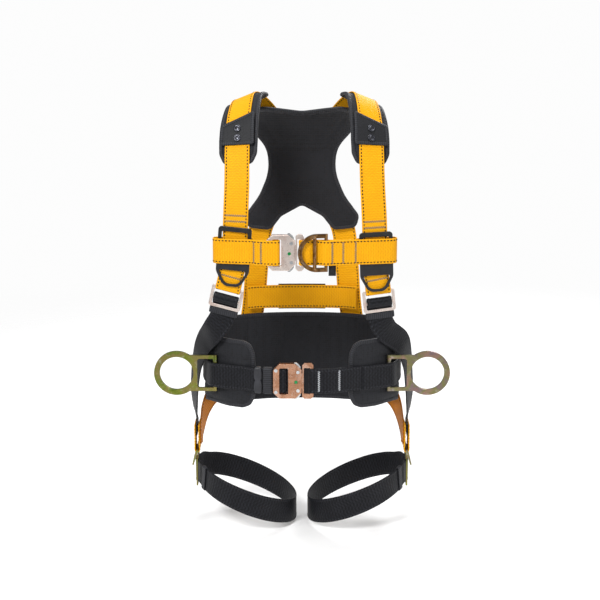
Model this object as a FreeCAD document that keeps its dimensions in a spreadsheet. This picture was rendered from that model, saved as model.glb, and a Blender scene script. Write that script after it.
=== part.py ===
import FreeCAD, Part
import math
import os
import Sketcher
from FreeCAD import Placement, Rotation, Vector

# Full-body work-positioning harness, laid out as it is worn.
# Frame: origin on the wearer's axis at the middle of the waist belt, +Z up, -Y in front,
# +X to the wearer's left. All lengths in millimetres.

os.makedirs("parts", exist_ok=True)
doc = FreeCAD.newDocument("safety_harness")

# Driving dimensions.
sizes = {
    "webWidth": 45.0,
    "webThick": 2.0,
    "padThick": 10.0,
    "padWidth": 71.0,
    "waistHalf": 172.0,
    "waistDepth": 108.0,
    "chestHeight": 233.0,
    "plateThick": 2.4,
    "plateGap": 4.6,
    "buckleWide": 51.0,
    "buckleTall": 63.5,
    "tongueThick": 3.2,
    "rivetRadius": 2.2,
    "ringThick": 6.0,
    "eyeRadius": 30.5,
    "eyeRim": 10.5,
    "barRadius": 4.0,
    "slideThick": 4.0,
    "adjusterWide": 58.0,
    "adjusterTall": 40.0,
    "studRadius": 6.75,
    "legPlate": 3.0,
}
sheet = doc.addObject("Spreadsheet::Sheet", "dims")
for row, (alias, value) in enumerate(sizes.items(), 1):
    sheet.set("A%d" % row, alias)
    sheet.set("B%d" % row, str(value))
    sheet.setAlias("B%d" % row, alias)
doc.recompute()


def dim(alias):
    return float(sheet.get(alias))


web = dim("webWidth")
thick = dim("webThick")
gap = 0.4
pieces = []


def keep(obj, label, placement=None):
    obj.Label = label
    if placement is not None:
        obj.Placement = placement
    pieces.append(obj)
    return obj


def put(x, y, z, turn=0.0, lean=0.0):
    """Placement of a flat piece: lean tips it in its own plane, turn swings it about the vertical."""
    spin = Rotation(Vector(0, 0, 1), turn).multiply(Rotation(Vector(0, 1, 0), lean))
    return Placement(Vector(x, y, z), spin)


# Outlines are closed polygons with rounded corners, drawn in the XZ plane.
def rounded(points, radius):
    count = len(points)
    edges, ends = [], []
    for i, p in enumerate(points):
        rad = radius[i] if isinstance(radius, (list, tuple)) else radius
        p = Vector(p[0], p[1], 0)
        a = Vector(*points[i - 1], 0) - p
        b = Vector(*points[(i + 1) % count], 0) - p
        a.normalize()
        b.normalize()
        half = math.acos(max(-1, min(1, a.dot(b)))) / 2
        if rad < 1e-6:
            ends.append((p, p))
            continue
        reach = rad / math.tan(half)
        p1, p2 = p + a * reach, p + b * reach
        mid = a + b
        mid.normalize()
        middle = p + mid * (rad / math.sin(half) - rad)
        ends.append((p1, p2))
        edges.append(Part.Arc(p1, middle, p2))
    for i in range(count):
        start, stop = ends[i][1], ends[(i + 1) % count][0]
        if (stop - start).Length > 1e-6:
            edges.append(Part.LineSegment(start, stop))
    return edges


def circle(x, z, radius):
    return [Part.Circle(Vector(x, z, 0), Vector(0, 0, 1), radius)]


def plate(label, loops, alias, placement=None, edge=0.0, extra=None):
    """Flat stamped or moulded piece: a sketched outline with its holes, padded both ways."""
    body = doc.addObject("PartDesign::Body", label)
    sketch = body.newObject("Sketcher::SketchObject", label + "_outline")
    plane = [f for f in body.Origin.OriginFeatures if f.Role == "XZ_Plane"][0]
    sketch.AttachmentSupport = [(plane, "")]
    sketch.MapMode = "FlatFace"
    for loop in loops:
        for shape in loop:
            sketch.addGeometry(shape, False)
    doc.recompute()
    pad = body.newObject("PartDesign::Pad", label + "_pad")
    pad.Profile = sketch
    if hasattr(pad, "SideType"):
        pad.SideType = "Symmetric"
    else:
        pad.Midplane = True
    pad.setExpression("Length", "dims." + alias)
    doc.recompute()
    body.Tip = pad
    if edge > 0:
        names = []
        for i, e in enumerate(pad.Shape.Edges, 1):
            ys = [v.Y for v in e.Vertexes]
            flat = max(ys) - min(ys) < 1e-6
            if flat:
                names.append("Edge%d" % i)
        fillet = body.newObject("PartDesign::Fillet", label + "_edges")
        fillet.Base = (pad, names)
        fillet.Radius = edge
        doc.recompute()
        if fillet.Shape.isNull() or not fillet.Shape.isValid() or "Invalid" in fillet.State:
            body.removeObject(fillet)
            doc.removeObject(fillet.Name)
            body.Tip = pad
        else:
            body.Tip = fillet
    return keep(body, label, placement)


def box(name, lx, ly, lz, x, y, z):
    b = doc.addObject("Part::Box", name)
    b.Length, b.Width, b.Height = lx, ly, lz
    b.Placement = Placement(Vector(x - lx / 2, y - ly / 2, z - lz / 2), Rotation())
    return b


def rod(name, radius, length, x, y, z, axis):
    c = doc.addObject("Part::Cylinder", name)
    if isinstance(radius, str):
        c.setExpression("Radius", radius)
    else:
        c.Radius = radius
    c.Height = length
    spin = Rotation(Vector(0, 0, 1), Vector(*axis))
    c.Placement = Placement(Vector(x, y, z) - spin.multVec(Vector(0, 0, length / 2)), spin)
    return c


def fuse(name, shapes):
    f = doc.addObject("Part::MultiFuse", name)
    f.Shapes = shapes
    f.Refine = True
    return f


def cut(name, base, tool):
    c = doc.addObject("Part::Cut", name)
    c.Base, c.Tool = base, tool
    return c


# Webbing and padding: a solid through a row of four-cornered stations.
def solidThrough(stations, closed=False):
    count = len(stations)
    faces = []

    def tri(a, b, c):
        faces.append(Part.Face(Part.makePolygon([a, b, c, a])))

    spans = count if closed else count - 1
    for i in range(spans):
        s0, s1 = stations[i], stations[(i + 1) % count]
        for k in range(4):
            a, b = s0[k], s0[(k + 1) % 4]
            c, d = s1[(k + 1) % 4], s1[k]
            if (a - c).Length <= (b - d).Length:
                tri(a, b, c)
                tri(a, c, d)
            else:
                tri(a, b, d)
                tri(b, c, d)
    if not closed:
        for s, flip in ((stations[0], 1), (stations[-1], 0)):
            tri(s[0], s[2], s[1]) if flip else tri(s[0], s[1], s[2])
            tri(s[0], s[3], s[2]) if flip else tri(s[0], s[2], s[3])
    shell = Part.Shell(faces)
    solid = Part.Solid(shell)
    if solid.Volume < 0:
        solid.reverse()
    return solid


def curve(points, step=16.0, closed=False):
    """Centripetal curve through (point, normal) pairs, as a row of (point, normal)."""
    n = len(points)

    def item(i):
        if closed:
            return points[i % n]
        if i < 0:
            return (points[0][0] * 2 - points[1][0], points[0][1])
        if i >= n:
            return (points[-1][0] * 2 - points[-2][0], points[-1][1])
        return points[i]

    row = []
    for i in range(n if closed else n - 1):
        p = [item(i + k)[0] for k in (-1, 0, 1, 2)]
        knots = [0.0]
        for k in range(3):
            knots.append(knots[-1] + max((p[k + 1] - p[k]).Length, 1e-3) ** 0.5)
        length = (p[2] - p[1]).Length
        turn = (p[2] - p[1]).getAngle(p[3] - p[2]) + (p[1] - p[0]).getAngle(p[2] - p[1])
        cuts = max(1, round(length / step), min(4, round(turn / 0.6) if length > 6 else 1))
        for c in range(cuts):
            t = knots[1] + (knots[2] - knots[1]) * c / cuts
            lay = list(p)
            for depth in (1, 2, 3):
                new = []
                for k in range(len(lay) - 1):
                    lo = max(k, 0)
                    t0 = knots[k] if depth == 1 else (knots[k] if depth == 2 else knots[1])
                    t1 = knots[k + depth] if depth < 3 else knots[2]
                    if depth == 1:
                        t0, t1 = knots[k], knots[k + 1]
                    elif depth == 2:
                        t0, t1 = knots[k], knots[k + 2]
                    w = (t - t0) / (t1 - t0)
                    new.append(lay[k] * (1 - w) + lay[k + 1] * w)
                lay = new
            w = c / cuts
            normal = item(i)[1] * (1 - w) + item(i + 1)[1] * w
            row.append((lay[0], normal))
    if not closed:
        row.append(points[-1])
    return row


def strap(points, width=None, deep=None, step=16.0, closed=False, offset=0.0):
    """Flat webbing whose face looks along the given normals."""
    width = web if width is None else width
    deep = thick if deep is None else deep
    row = curve(points, step, closed)
    count = len(row)
    stations = []
    for i, (p, normal) in enumerate(row):
        before = row[i - 1][0] if (i or closed) else p
        after = row[(i + 1) % count][0] if (i < count - 1 or closed) else p
        along = after - before
        along.normalize()
        side = along.cross(normal)
        side.normalize()
        out = side.cross(along)
        p = p + out * offset
        stations.append([p + side * (width / 2) + out * (deep / 2), p - side * (width / 2) + out * (deep / 2),
                         p - side * (width / 2) - out * (deep / 2), p + side * (width / 2) - out * (deep / 2)])
    return solidThrough(stations, closed)


def soft(label, solid):
    f = doc.addObject("Part::Feature", label)
    f.Shape = solid
    return keep(f, label)


def pts(rows):
    out = []
    for r in rows:
        n = Vector(r[3], r[4], r[5])
        n.normalize()
        out.append((Vector(r[0], r[1], r[2]), n))
    return out


def mirror(rows, side):
    return [(side * r[0], r[1], r[2], side * r[3], r[4], r[5]) for r in rows]


# The wearer's outline at the waist: a superellipse, entered by angle from the side.
def waist(angle, off, z=0.0, side=1, back=1.0):
    a, b, n = dim("waistHalf"), dim("waistDepth"), 2.3
    t = math.radians(angle)
    c, s = math.cos(t), math.sin(t)

    def spot(c, s):
        return Vector(math.copysign(abs(c) ** (2 / n) * a, c), -math.copysign(abs(s) ** (2 / n) * b, s), 0)

    p = spot(c, s)
    nx = math.copysign((abs(p.x) / a) ** (n - 1) / a, p.x)
    ny = math.copysign((abs(p.y) / b) ** (n - 1) / b, p.y)
    normal = Vector(nx, ny, 0)
    normal.normalize()
    p = p + normal * off
    return (Vector(side * p.x, p.y, z), Vector(side * normal.x, normal.y, 0))


padOut = dim("padThick")
ringAngle = 33.4
ringOff = padOut + dim("barRadius") + 1.2
names = {-1: "right", 1: "left"}

# ---------------------------------------------------------------- side rings
eyeFromBar = 70.0
for side in (-1, 1):
    spot, facing = waist(ringAngle, ringOff, 2.0, side)
    r, rim, bar = dim("eyeRadius"), dim("eyeRim"), dim("barRadius")
    outer = r + rim
    armTop, armLow = 33.5, 27.0
    body = doc.addObject("PartDesign::Body", "ring_blank_" + names[side])
    sketch = body.newObject("Sketcher::SketchObject", "ring_outline_" + names[side])
    plane = [f for f in body.Origin.OriginFeatures if f.Role == "XZ_Plane"][0]
    sketch.AttachmentSupport = [(plane, "")]
    sketch.MapMode = "FlatFace"
    # Outer edge: two arms tangent to the rim of the eye.
    touch = math.asin(armTop / outer)
    ex = side * eyeFromBar
    meet = side * (eyeFromBar - outer * math.cos(touch))
    up, low = Vector(meet, armTop, 0), Vector(meet, -armTop, 0)
    far = Vector(side * (eyeFromBar + outer), 0, 0)
    sketch.addGeometry(Part.Arc(up, far, low), False)
    sketch.addGeometry(Part.LineSegment(up, Vector(0, armTop, 0)), False)
    sketch.addGeometry(Part.LineSegment(Vector(0, armTop, 0), Vector(0, -armTop, 0)), False)
    sketch.addGeometry(Part.LineSegment(Vector(0, -armTop, 0), low), False)
    sketch.addGeometry(Part.Circle(Vector(ex, 0, 0), Vector(0, 0, 1), r), False)
    for shape in rounded([(side * 0.2, armLow), (side * 32.5, armLow), (side * 32.5, -armLow), (side * 0.2, -armLow)],
                         [0, 5, 5, 0]):
        sketch.addGeometry(shape, False)
    last = sketch.addConstraint(Sketcher.Constraint("Radius", 4, r))
    sketch.renameConstraint(last, "eye")
    sketch.setExpression("Constraints.eye", "dims.eyeRadius")
    doc.recompute()
    pad = body.newObject("PartDesign::Pad", "ring_pad_" + names[side])
    pad.Profile = sketch
    if hasattr(pad, "SideType"):
        pad.SideType = "Symmetric"
    else:
        pad.Midplane = True
    pad.setExpression("Length", "dims.ringThick")
    body.Tip = pad
    doc.recompute()
    ring = fuse("side_ring_" + names[side], [body, rod("ring_bar_" + names[side], "dims.barRadius",
                                                       2 * armTop, 0, 0, 0, (0, 0, 1))])
    keep(ring, "side_ring_" + names[side], Placement(spot, Rotation()))

# ---------------------------------------------------------------- waist pad
def padStations():
    stations = []
    ends = [(64.5, 84, 6), (63.2, 108, 6), (60, 122, 6), (54, 124, 6)]
    rows = []
    for angle, tall, mid in ends:
        rows.append((angle, tall, mid))
    for k in range(1, 30):
        angle = 54 - k * (144 - 0) / 29.0
        share = min(1.0, max(0.0, (30 - angle) / 80.0))
        share = share * share * (3 - 2 * share)
        rows.append((angle, 124 + 47 * share, 6 - 19.5 * share))
    half = [r for r in rows if r[0] > -90 + 1e-6]
    full = [(a, t, m, 1) for a, t, m in half] + [(-90, 171, -13.5, 1)]
    full += [(a, t, m, -1) for a, t, m in reversed(half)]
    for angle, tall, mid, side in full:
        inner, normal = waist(angle, 0.0, mid, side)
        outerSpot, _ = waist(angle, padOut, mid, side)
        rise = Vector(0, 0, tall / 2)
        stations.append([outerSpot + rise, outerSpot - rise, inner - rise, inner + rise])
    return stations


soft("waist_pad", solidThrough(padStations()))

# ---------------------------------------------------------------- waist belt
buckleY = -122.0
waistBuckleX = -26.4
beltOff = padOut + 1.6


def flat(x, y, z=0.0):
    return (Vector(x, y, z), Vector(0, -1, 0))


def foldLeft(cx, cy, radius, z, start=-90, stop=90, count=5):
    """Half turn about a vertical bar, from the front round the +X side to the back."""
    rows = []
    for k in range(count):
        t = math.radians(start + (stop - start) * k / (count - 1))
        rows.append((Vector(cx + radius * math.cos(t), cy + radius * math.sin(t), z),
                     Vector(math.cos(t), math.sin(t), 0)))
    return rows


beltZ = {-1: 0.0, 1: 0.0}
ringPush = ringOff + dim("barRadius") + 1.4 + thick / 2
foldX = waistBuckleX - 4.0
belt = [flat(-88, -110.4), flat(-80, -113.0), flat(-70, -114.6), flat(-52, -115.9), flat(foldX - 8, -115.9)]
belt = [(p, Vector(-n.x, 1, 0)) for p, n in belt]
belt += list(reversed(foldLeft(foldX, buckleY + 3.5, 2.6, 0.0)))
belt += [flat(foldX - 8, buckleY + 0.9), flat(-52, buckleY + 0.9), flat(-70, -118.0), flat(-86, -115.4)]
ringSpots = [(52, beltOff + 1.0), (44, beltOff + 3.5), (38.5, ringPush - 1.8), (ringAngle + 1.6, ringPush - 0.2),
             (ringAngle - 1.6, ringPush - 0.2), (28.5, ringPush - 1.8), (22, beltOff + 3.5), (12, beltOff + 0.5)]
belt += [waist(a, o, 0, -1) for a, o in [(58, beltOff)] + ringSpots]
belt += [waist(a, beltOff, 0, -1) for a in (0, -14, -28, -42, -56, -70, -82)]
belt += [waist(a, beltOff, 0, 1) for a in (-90, -82, -70, -56, -42, -28, -14, 0)]
belt += [waist(a, o, 0, 1) for a, o in reversed(ringSpots)]
belt += [waist(a, beltOff, 0, 1) for a in (56,)]
soft("belt_webbing", strap(belt, step=20))

tongueReach = 46.7
waistBarX = waistBuckleX + tongueReach - 3.0
last, lastNormal = waist(56, beltOff, 0, 1)
front = [(last + (waist(58, beltOff, 0, 1)[0] - last) * 0.12, lastNormal), waist(61, beltOff + 0.4, 0, 1), flat(72, -117.0),
         flat(56, -121.6), flat(40, -124.6), flat(waistBarX + 4, -125.6)]
wrap = foldLeft(waistBarX - 1.0, buckleY, 3.6, 0.0)
wrap = [(Vector(2 * (waistBarX - 1.0) - p.x, p.y, p.z), Vector(-n.x, n.y, 0)) for p, n in wrap]
front += wrap
front += [(Vector(x, y, 0), Vector(0, 1, 0)) for x, y in ((waistBarX + 4, -118.4), (40, -119.4), (56, -118.4), (70, -114.4))]
soft("belt_webbing_front", strap(front, step=20))

# Keepers on the belt beside the receiver: a two-lobed moulded one and a plain elastic one.
for label, x, wide, y, deep in (("keeper_lobed", -78.5, 15.0, -114.9, 7.4), ("keeper_elastic", -61.3, 16.0, -118.2, 9.2)):
    turn = -8.0 if wide < 16 else -5.0
    shell = box(label + "_outer", wide, deep + 3.0, 49.4, 0, 0, 0)
    hole = box(label + "_slot", wide + 2, deep, 46.2, 0, 0, 0)
    ringShape = cut(label, shell, hole)
    ringShape.Placement = put(x, y, 0, turn)
keepers = doc.addObject("Part::Compound", "belt_keepers")
keepers.Links = [doc.getObject("keeper_lobed"), doc.getObject("keeper_elastic")]
keep(keepers, "belt_keepers")


# ---------------------------------------------------------------- quick-connect buckles
def springCoil(x, y, z, rise):
    """Compression spring: five turns of round wire drawn with a square section."""
    stations = []
    turns, radius, wire = 5, 1.15, 0.5
    for k in range(turns * 8 + 1):
        t = 2 * math.pi * k / 8
        out = Vector(math.cos(t), math.sin(t), 0)
        p = Vector(x, y, z) + out * radius + Vector(0, 0, rise * k / (turns * 8.0))
        up = Vector(0, 0, wire / 2)
        stations.append([p + out * wire / 2 + up, p - out * wire / 2 + up,
                         p - out * wire / 2 - up, p + out * wire / 2 - up])
    return solidThrough(stations)


def buckle(name, cx, cy, cz, reach, shortRivets):
    half, tall = dim("buckleWide") / 2, dim("buckleTall") / 2
    chamfer = 11.0
    octagon = [(-half, tall - chamfer), (-half + chamfer, tall), (half - chamfer, tall), (half, tall - chamfer),
               (half, -tall + chamfer), (half - chamfer, -tall), (-half + chamfer, -tall), (-half, -tall + chamfer)]
    slot = [(-14.3, 24), (1.4, 24), (1.4, -24), (-14.3, -24)]
    rivets = [(19, 17), (19, -17), (-20.5, 20), (-20.5, -20)]
    offset = (dim("plateGap") + dim("plateThick")) / 2
    for tag, sign in (("front", -1), ("back", 1)):
        loops = [rounded(octagon, 2.5), rounded(slot, 2.5)]
        for x, z in rivets:
            if sign > 0 and shortRivets and x < 0:
                continue
            loops.append(circle(x, z, dim("rivetRadius") + 0.05))
        if sign < 0:
            loops.append(circle(15.4, -1.3, 2.85))
        plate("%s_receiver_%s" % (name, tag), loops, "plateThick", put(cx, cy + sign * offset, cz),
              edge=0.7 if sign < 0 else 0.0)
    total = dim("plateGap") + 2 * dim("plateThick")
    group = []
    for i, (x, z) in enumerate(rivets):
        if x < 0 and shortRivets:
            shank, mid = 3.0, cy - total / 2 + 1.5
        else:
            shank, mid = total, cy
        group.append(rod("%s_shank_%d" % (name, i), "dims.rivetRadius", shank, cx + x, mid, cz + z, (0, 1, 0)))
        if x > 0 or shortRivets:
            group.append(rod("%s_head_%d" % (name, i), 3.1, 0.8, cx + x, cy - total / 2 - 0.4, cz + z, (0, 1, 0)))
    keep(fuse(name + "_rivets", group), name + "_rivets")
    keep(rod(name + "_indicator", 2.8, 2.6, cx + 15.4, cy - offset - 0.2, cz - 1.3, (0, 1, 0)), name + "_indicator")
    # Release levers: flat latches that stand out of the top and bottom edges between the plates.
    for tag, sign in (("upper", 1), ("lower", -1)):
        # The edge of the receiver is lowest at its chamfered corner, so the lever follows it.
        lever = [(12.5, 22.6), (23.6, 22.6), (23.6, 26.2), (20.6, 30.6), (16.4, 34.2), (12.5, 34.2)]
        lever = [(x, sign * z) for x, z in lever]
        if sign < 0:
            lever.reverse()
        body = plate("%s_lever_%s" % (name, tag), [rounded(lever, 0.8)], "tongueThick", put(cx, cy, cz))
    coils = [springCoil(cx + 14.7, cy, cz + 15.4, 6.6), springCoil(cx + 14.7, cy, cz - 22.0, 6.6)]
    soft(name + "_lever_springs", Part.makeCompound(coils))
    # Tongue: blade inside the receiver, then a cross frame with the webbing bar.
    x1, x2 = half + 1.0, reach
    shape = [(3.2, 12.5), (6.0, 13.8), (x1, 13.8), (x1, 29), (x1 + 4, 33), (x2 - 4, 33), (x2, 29),
             (x2, -29), (x2 - 4, -33), (x1 + 4, -33), (x1, -29), (x1, -13.8), (6.0, -13.8), (3.2, -12.5)]
    bar = 5.6
    opening = [(x1 + 3.0, 24), (x2 - bar, 24), (x2 - bar, -24), (x1 + 3.0, -24)]
    plate(name + "_tongue", [rounded(shape, 0.9), rounded(opening, 1.2)], "tongueThick", put(cx, cy, cz), edge=0.5)


chestZ = dim("chestHeight")
chestBuckleX = -38.0
buckle("waist", waistBuckleX, buckleY, 0.0, tongueReach, True)
buckle("chest", chestBuckleX, buckleY, chestZ, 41.0, False)

# ---------------------------------------------------------------- chest strap and its ring
strapX = {-1: 119.0, 1: 129.0}
loopRows = [(-30, -116.5), (-13, -113.8), (3, -111.0), (18, -108.4), (30, -105.5), (36.5, -100), (38, -93), (34, -87),
            (25, -87), (18, -89), (3, -93), (-13, -96.6), (-22, -99.2), (-30, -103)]


def loopNormals(rows, side, z, turn):
    """Normals that follow the loop round the slide: front face first, then the back one."""
    out = []
    for i, (x, y) in enumerate(rows):
        a = rows[max(i - 1, 0)]
        b = rows[min(i + 1, len(rows) - 1)]
        tx, ty = b[0] - a[0], b[1] - a[1]
        length = math.hypot(tx, ty)
        n = Vector(side * ty / length, -tx / length, 0) * turn
        out.append((Vector(side * x, y, z), n))
    return out


right = [(strapX[-1] + u, y) for u, y in loopRows]
fold = [(-(chestBuckleX - 8 + 6.1 * math.cos(math.radians(a))), buckleY + 6.1 * math.sin(math.radians(a)))
        for a in (90, 60, 30, 0, -30, -60, -90)]
rowsRight = [(82, -117.4), (75, -119.0), (68, -117.8), (65, -115.9), (56, -115.6)] + fold + [(63, -127.8), (80, -122.6)] + right + [(85, -107.5)]
soft("chest_strap_right", strap(loopNormals(rowsRight, -1, chestZ, 1), step=20))

leftLoop = [(strapX[1] + u, y) for u, y in loopRows]
barX = chestBuckleX + 41.0 - 2.8
noseL = [(barX - 1.4 - 3.6 * math.sin(math.radians(a)), buckleY + 3.6 * math.cos(math.radians(a)))
         for a in (0, 45, 90, 135, 180)]
rowsLeft = [(86, -116.6), (70, -119.7), (56, -119.2), (45, -118.4), (30, -118.2), (12, -118.3)] + noseL
rowsLeft += [(12, -124.0), (22, -121.8), (30, -123.4), (36, -127.0), (42, -128.7), (48, -127.6), (58, -124.6), (72, -122.4),
             (84, -120)] + leftLoop + [(93, -108.5)]
soft("chest_strap_left", strap(loopNormals(rowsLeft, 1, chestZ, 1), step=20))

ringX, ringY, ringLean = 42.0, -123.7, 9.2
wide, tallRing = 50.0, 33.5
bend = wide - tallRing


def arc(x1, z1, x2, z2, x3, z3):
    return Part.Arc(Vector(x1, z1, 0), Vector(x2, z2, 0), Vector(x3, z3, 0))


def line(x1, z1, x2, z2):
    return Part.LineSegment(Vector(x1, z1, 0), Vector(x2, z2, 0))


inside = tallRing - 7.0
rise = math.sqrt(inside ** 2 - (20.4 - bend) ** 2)
outerD = [arc(-bend, tallRing, -wide, 0, -bend, -tallRing), line(-bend, -tallRing, 0.1, -tallRing),
          line(0.1, -tallRing, 0.1, tallRing), line(0.1, tallRing, -bend, tallRing)]
innerD = [arc(-20.4, rise, -bend - inside, 0, -20.4, -rise), line(-20.4, -rise, -20.4, rise)]
plateD = plate("chest_ring_frame", [outerD, innerD,
                                    rounded([(-0.1, 26.6), (-20.2, 26.6), (-20.2, -26.6), (-0.1, -26.6)], 0)],
               "tongueThick", None)
pieces.remove(plateD)
doc.getObject("chest_ring_frame_pad").setExpression("Length", "dims.ringThick")
chestRing = fuse("chest_ring", [plateD, rod("chest_ring_bar", 3.05, 2 * tallRing, 0, 0, 0, (0, 0, 1)),
                                rod("chest_ring_cross", 3.3, 60, -20.3, 0, 0, (0, 0, 1))])
keep(chestRing, "chest_ring", put(ringX, ringY, chestZ, ringLean))
keep(box("strap_tag", 13, 1.2, 23, 53, -121.9, 203), "strap_tag")

# ---------------------------------------------------------------- shoulder straps and front hardware
lean = {-1: 13.0, 1: -6.0}
drop = {-1: 0.0, 1: -9.0}
frontTurn = {-1: -8.5, 1: 8.5}
adjust = {}
for side in (-1, 1):
    x = strapX[side] + (16.5 if side < 0 else 8.5)
    adjust[side] = put(side * x, -95.4, 146.0 + drop[side] * 0.6, frontTurn[side], lean[side])


def fromFrame(place, rows):
    """Points of a strap in the plane square to a frame's bars, moved with the frame."""
    out = []
    for y, z, ny, nz in rows:
        n = Vector(0, ny, nz)
        n.normalize()
        out.append((place.multVec(Vector(0, y, z)), place.Rotation.multVec(n)))
    return out


for side in (-1, 1):
    place = adjust[side]
    tag = names[side]
    x = strapX[side]
    top = 20.0
    loop = [(3.0, 36, 1, 0), (3.1, 26, 1, 0), (2.9, 17, 1, 0), (2.4, 14.0, 1, -0.7), (0, 12.8, 0, -1), (-2.4, 14.0, -1, -0.7),
            (-2.9, 17, -1, 0), (-3.1, 26, -1, 0)]
    rows = fromFrame(place, loop)
    zs = drop[side]
    away = 114.5 if side < 0 else 122.5
    over = [(x + (3 if side < 0 else 1), -100.2, 207 + zs * 0.5, 0.15, -1, 0), (x, -101, 233, 0.15, -1, 0),
            (x - 2, -100, 290, 0.15, -1, 0.05), ((x + away) / 2 - 2, -90, 350, 0.17, -1, 0.2), (away, -74, 400, 0.2, -0.95, 0.35),
            (away - 1, -52, 447, 0.28, -0.75, 0.6), (away - 5, -22, 481, 0.36, -0.35, 0.85), (away - 10, 10, 494, 0.36, 0.05, 0.9),
            (away - 22, 42, 488, 0.28, 0.45, 0.8), (away - 42, 71, 466, 0.12, 0.8, 0.55), (away - 65, 94.5, 432, 0.05, 0.95, 0.3)]
    rows += pts(mirror(over, side))
    lift = 0.0 if side < 0 else thick + 1.6
    cross = [(34, 112.6 + lift, 408, 0, 1, 0.1), (14, 119.0 + lift, 388, 0, 1, 0), (0, 119.4 + lift, 373, 0, 1, 0),
             (-10, 119.0 + lift, 358, 0, 1, 0), (-20, 114.6 + lift * 1.1, 340, 0, 1, 0), (-34, 111.0 + lift, 315, 0, 1, 0),
             (-55, 110, 285, 0, 1, 0),
             (-78, 112, 238, -0.1, 1, 0), (-86, 109, 170, -0.2, 1, 0), (-91, 106, 105, -0.3, 1, 0),
             (-95, 107, 74, -0.35, 1, 0), (-98, 108.6, 56, -0.4, 1, 0), (-99, 108.4, 28, -0.4, 1, 0)]
    rows += pts(mirror(cross, side))
    soft("shoulder_strap_" + tag, strap(rows, step=26))

    # Shoulder pad under the strap, and the flap that holds the strap to it.
    padRows = []
    for r, wideAt in zip(over[4:9], (52, 71, 71, 71, 71)):
        padRows.append(r)
    tip = (over[4][0], -78.8, 387.5, 0.19, -0.95, 0.32)
    stations = []
    body = curve(pts(mirror([tip] + over[5:9], side)), 20)
    count = len(body)
    for i, (p, n) in enumerate(body):
        before, after = body[max(i - 1, 0)][0], body[min(i + 1, count - 1)][0]
        t = after - before
        t.normalize()
        sideways = t.cross(n)
        sideways.normalize()
        out = sideways.cross(t)
        w = dim("padWidth") / 2 * (0.62 if i == 0 else (0.9 if i == 1 else 1.0))
        q0, q1 = p - out * (thick / 2 + 0.9), p - out * (thick / 2 + 0.9 + padOut)
        stations.append([q0 + sideways * w, q0 - sideways * w, q1 - sideways * w, q1 + sideways * w])
    soft("shoulder_pad_" + tag, solidThrough(stations))
    flapRows = pts(mirror([(away - 0.2, -68.0, 415, 0.22, -0.9, 0.42), over[5],
                           (away - 3, -36.5, 467.5, 0.32, -0.55, 0.73)], side))
    flap = strap(flapRows, width=62, deep=1.6, step=14, offset=thick / 2 + 0.8 + 0.8)
    soft("pad_flap_" + tag, flap)

studs = []
for side in (-1, 1):
    away = 114.5 if side < 0 else 122.5
    for k, (y, z, ny, nz) in enumerate(((-62.9, 426, -0.85, 0.5), (-55.4, 442, -0.78, 0.57))):
        n = Vector(side * 0.28, ny, nz)
        n.normalize()
        spot = Vector(side * (away - 1.5), y, z) + n * (thick / 2 + 0.8 + 1.6 + 2.4)
        s = rod("stud_%s_%d" % (names[side], k), "dims.studRadius", 1.8, spot.x, spot.y, spot.z, (n.x, n.y, n.z))
        studs.append(s)
group = doc.addObject("Part::Compound", "press_studs")
group.Links = studs
keep(group, "press_studs")

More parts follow.
